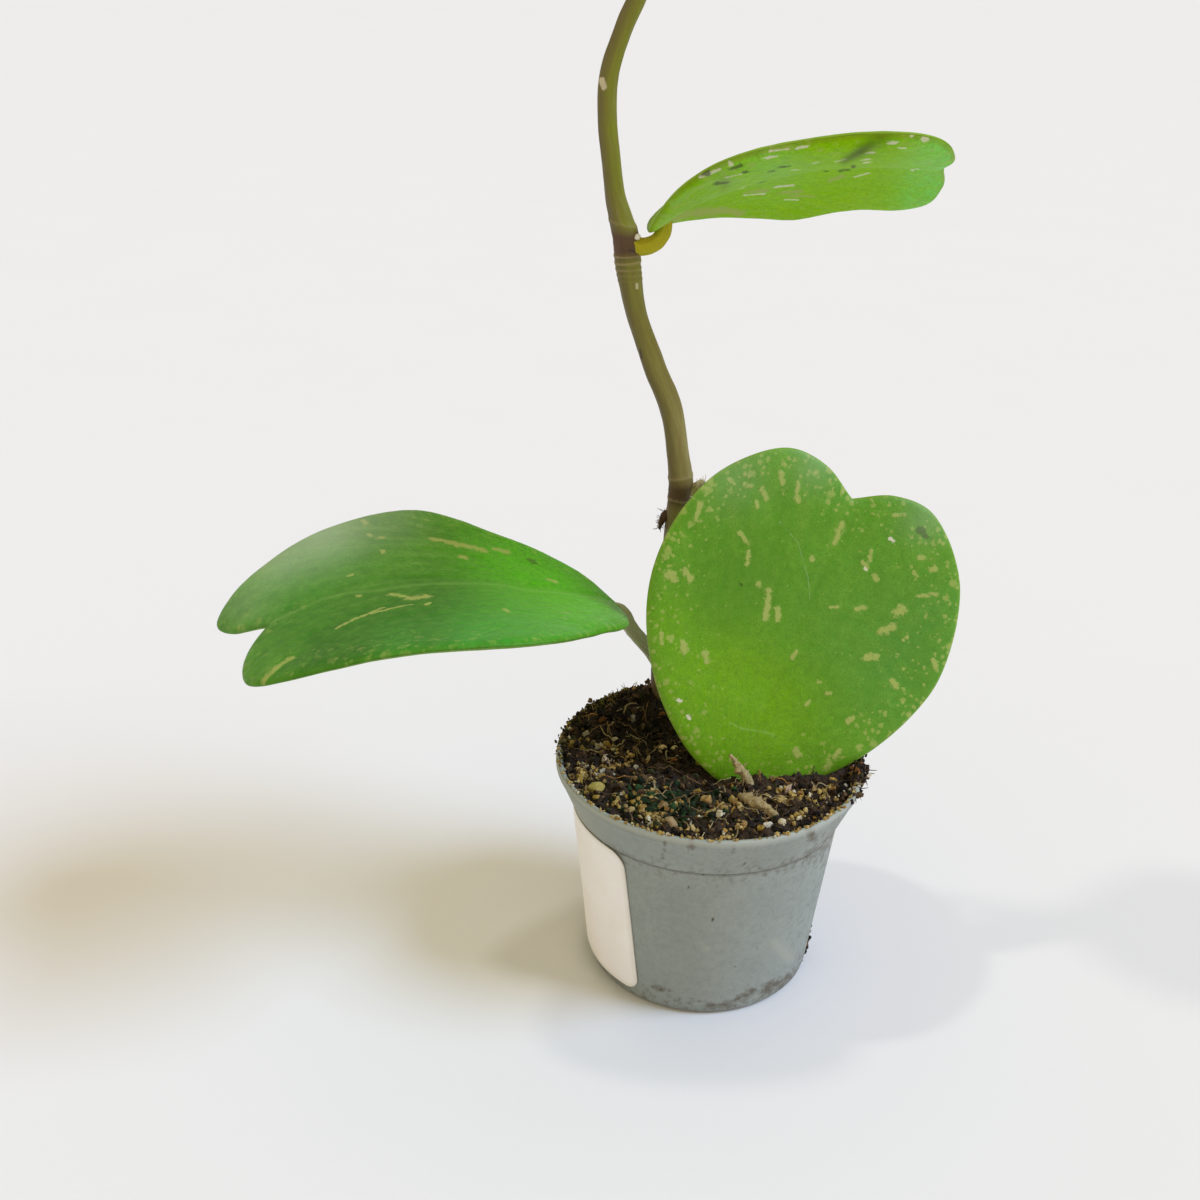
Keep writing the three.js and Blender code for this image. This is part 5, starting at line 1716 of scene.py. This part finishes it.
# Colours shared by the leaves: on the upper leaf the vein line is a painted highlight, and the glare and the
# fold's shadow are painted light and shade.
MARK_COLOURS = {
    "scratch": "#a9b887",
    "vein": "#9cc468",
    "grain": "#dfd9bf",
    "fleck": "#3f5218",
    "bloom": "#b4c6a8",
    "crease": "#4e601c",
}


class HOYA_OT_leaves(bpy.types.Operator):
    """Adds the three heart-shaped leaves with their stalks"""

    bl_idname = "hoya.leaves"
    bl_label = "Leaves"

    def execute(self, context):
        settings = context.scene.hoya_leaf
        skins = (settings.front, settings.left, settings.upper)
        for leaf, skin in zip((FRONT_LEAF, LEFT_LEAF, UPPER_LEAF), skins):
            blade, blade_faces, paint = leaf_blade(leaf)
            stalk, stalk_faces, stalk_paint = leaf_stalk(leaf)
            paint = {key: np.concatenate([values, stalk_paint[key]]) for key, values in paint.items()}
            points, faces = joined((blade, outward(blade, blade_faces)), (stalk, outward(stalk, stalk_faces)))
            look = LEAF_LOOKS[leaf["node"]] | MARK_COLOURS
            look |= {"skin": skin, "splash": settings.splash, "under": settings.under}
            name = leaf["node"].replace("leaf_", "") + "_heart_leaf"
            make_piece(name, points, faces, waxy_leaf(leaf, look), leaf["node"], [leaf["node"]], paint)
        return {"FINISHED"}


# ---- Stage


class HOYA_OT_stage(bpy.types.Operator):
    """Adds the floor, the lights and the camera"""

    bl_idname = "hoya.stage"
    bl_label = "Stage"

    def execute(self, context):
        scene, settings = context.scene, context.scene.hoya_stage
        half = 4  # metres
        corners = [(-half, -half, 0), (half, -half, 0), (half, half, 0), (-half, half, 0)]
        mesh = bpy.data.meshes.new("studio_floor")
        mesh.from_pydata(corners, [], [(0, 1, 2, 3)])
        mesh.materials.append(painted_floor(settings))
        floor = bpy.data.objects.new("studio_floor", mesh)
        scene.collection.objects.link(floor)
        floor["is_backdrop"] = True
        lights = [
            ("key", settings.key, settings.key_colour, radians(25), (-0.95, 0.2, -1)),
            ("second", settings.fill, (1, 0.95, 0.85), radians(4), (0.65, 0.02, -1)),
        ]
        for name, strength, tint, spread, way in lights:
            light = bpy.data.lights.new(name, "SUN")
            light.energy, light.color, light.angle = strength, tint, spread
            lamp = bpy.data.objects.new(name, light)
            lamp.rotation_euler = Vector(way).to_track_quat("-Z", "Y").to_euler()
            scene.collection.objects.link(lamp)
        world = bpy.data.worlds.new("room")
        world.use_nodes = True
        world.node_tree.nodes["Background"].inputs["Color"].default_value = (*settings.room, 1)
        scene.world = world
        scene.view_settings.view_transform = "Standard"
        camera = bpy.data.cameras.new("camera")
        camera.lens, camera.sensor_width, camera.clip_start = CAMERA["lens"], CAMERA["sensor"], 0.005
        holder = bpy.data.objects.new("camera", camera)
        right, up, forward = (Vector(axis) for axis in camera_axes())
        turned = Matrix((right, up, -forward)).transposed().to_4x4()
        holder.matrix_world = Matrix.Translation(Vector(CAMERA["place"]) * MM) @ turned
        scene.collection.objects.link(holder)
        scene.camera = holder
        return {"FINISHED"}


STEPS = ("stage", "pot", "label", "soil", "crumbs", "grit", "fibres", "stem", "stubs", "leaves")
GROUPS = {
    "hoya_pot": PotSettings,
    "hoya_soil": SoilSettings,
    "hoya_stem": StemSettings,
    "hoya_leaf": LeafSettings,
    "hoya_stage": StageSettings,
}


class HOYA_PT_sidebar(bpy.types.Panel):
    """Lists the settings and the steps"""

    bl_idname = "HOYA_PT_sidebar"
    bl_label = "Hoya"
    bl_space_type = "VIEW_3D"
    bl_region_type = "UI"
    bl_category = "Hoya"

    def draw(self, context):
        for step in STEPS:
            self.layout.operator(f"hoya.{step}")
        for group, kind in GROUPS.items():
            box = self.layout.box()
            for key in kind.__annotations__:
                box.prop(getattr(context.scene, group), key)


CLASSES = (
    *GROUPS.values(), HOYA_PT_sidebar, HOYA_OT_stage, HOYA_OT_pot, HOYA_OT_label, HOYA_OT_soil,
    HOYA_OT_crumbs, HOYA_OT_grit, HOYA_OT_fibres, HOYA_OT_stem, HOYA_OT_stubs, HOYA_OT_leaves,
)


def register():
    for kind in CLASSES:
        bpy.utils.register_class(kind)
    for group, kind in GROUPS.items():
        setattr(bpy.types.Scene, group, PointerProperty(type=kind))


def unregister():
    for group in GROUPS:
        delattr(bpy.types.Scene, group)
    for kind in reversed(CLASSES):
        bpy.utils.unregister_class(kind)


def main():
    register()
    for step in STEPS:
        getattr(bpy.ops.hoya, step)()
    boxes = {"cad": cad_box, "visual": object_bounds()}
    {key: [list(corner) for corner in box] for key, box in boxes.items()}


if __name__ == "__main__":
    main()
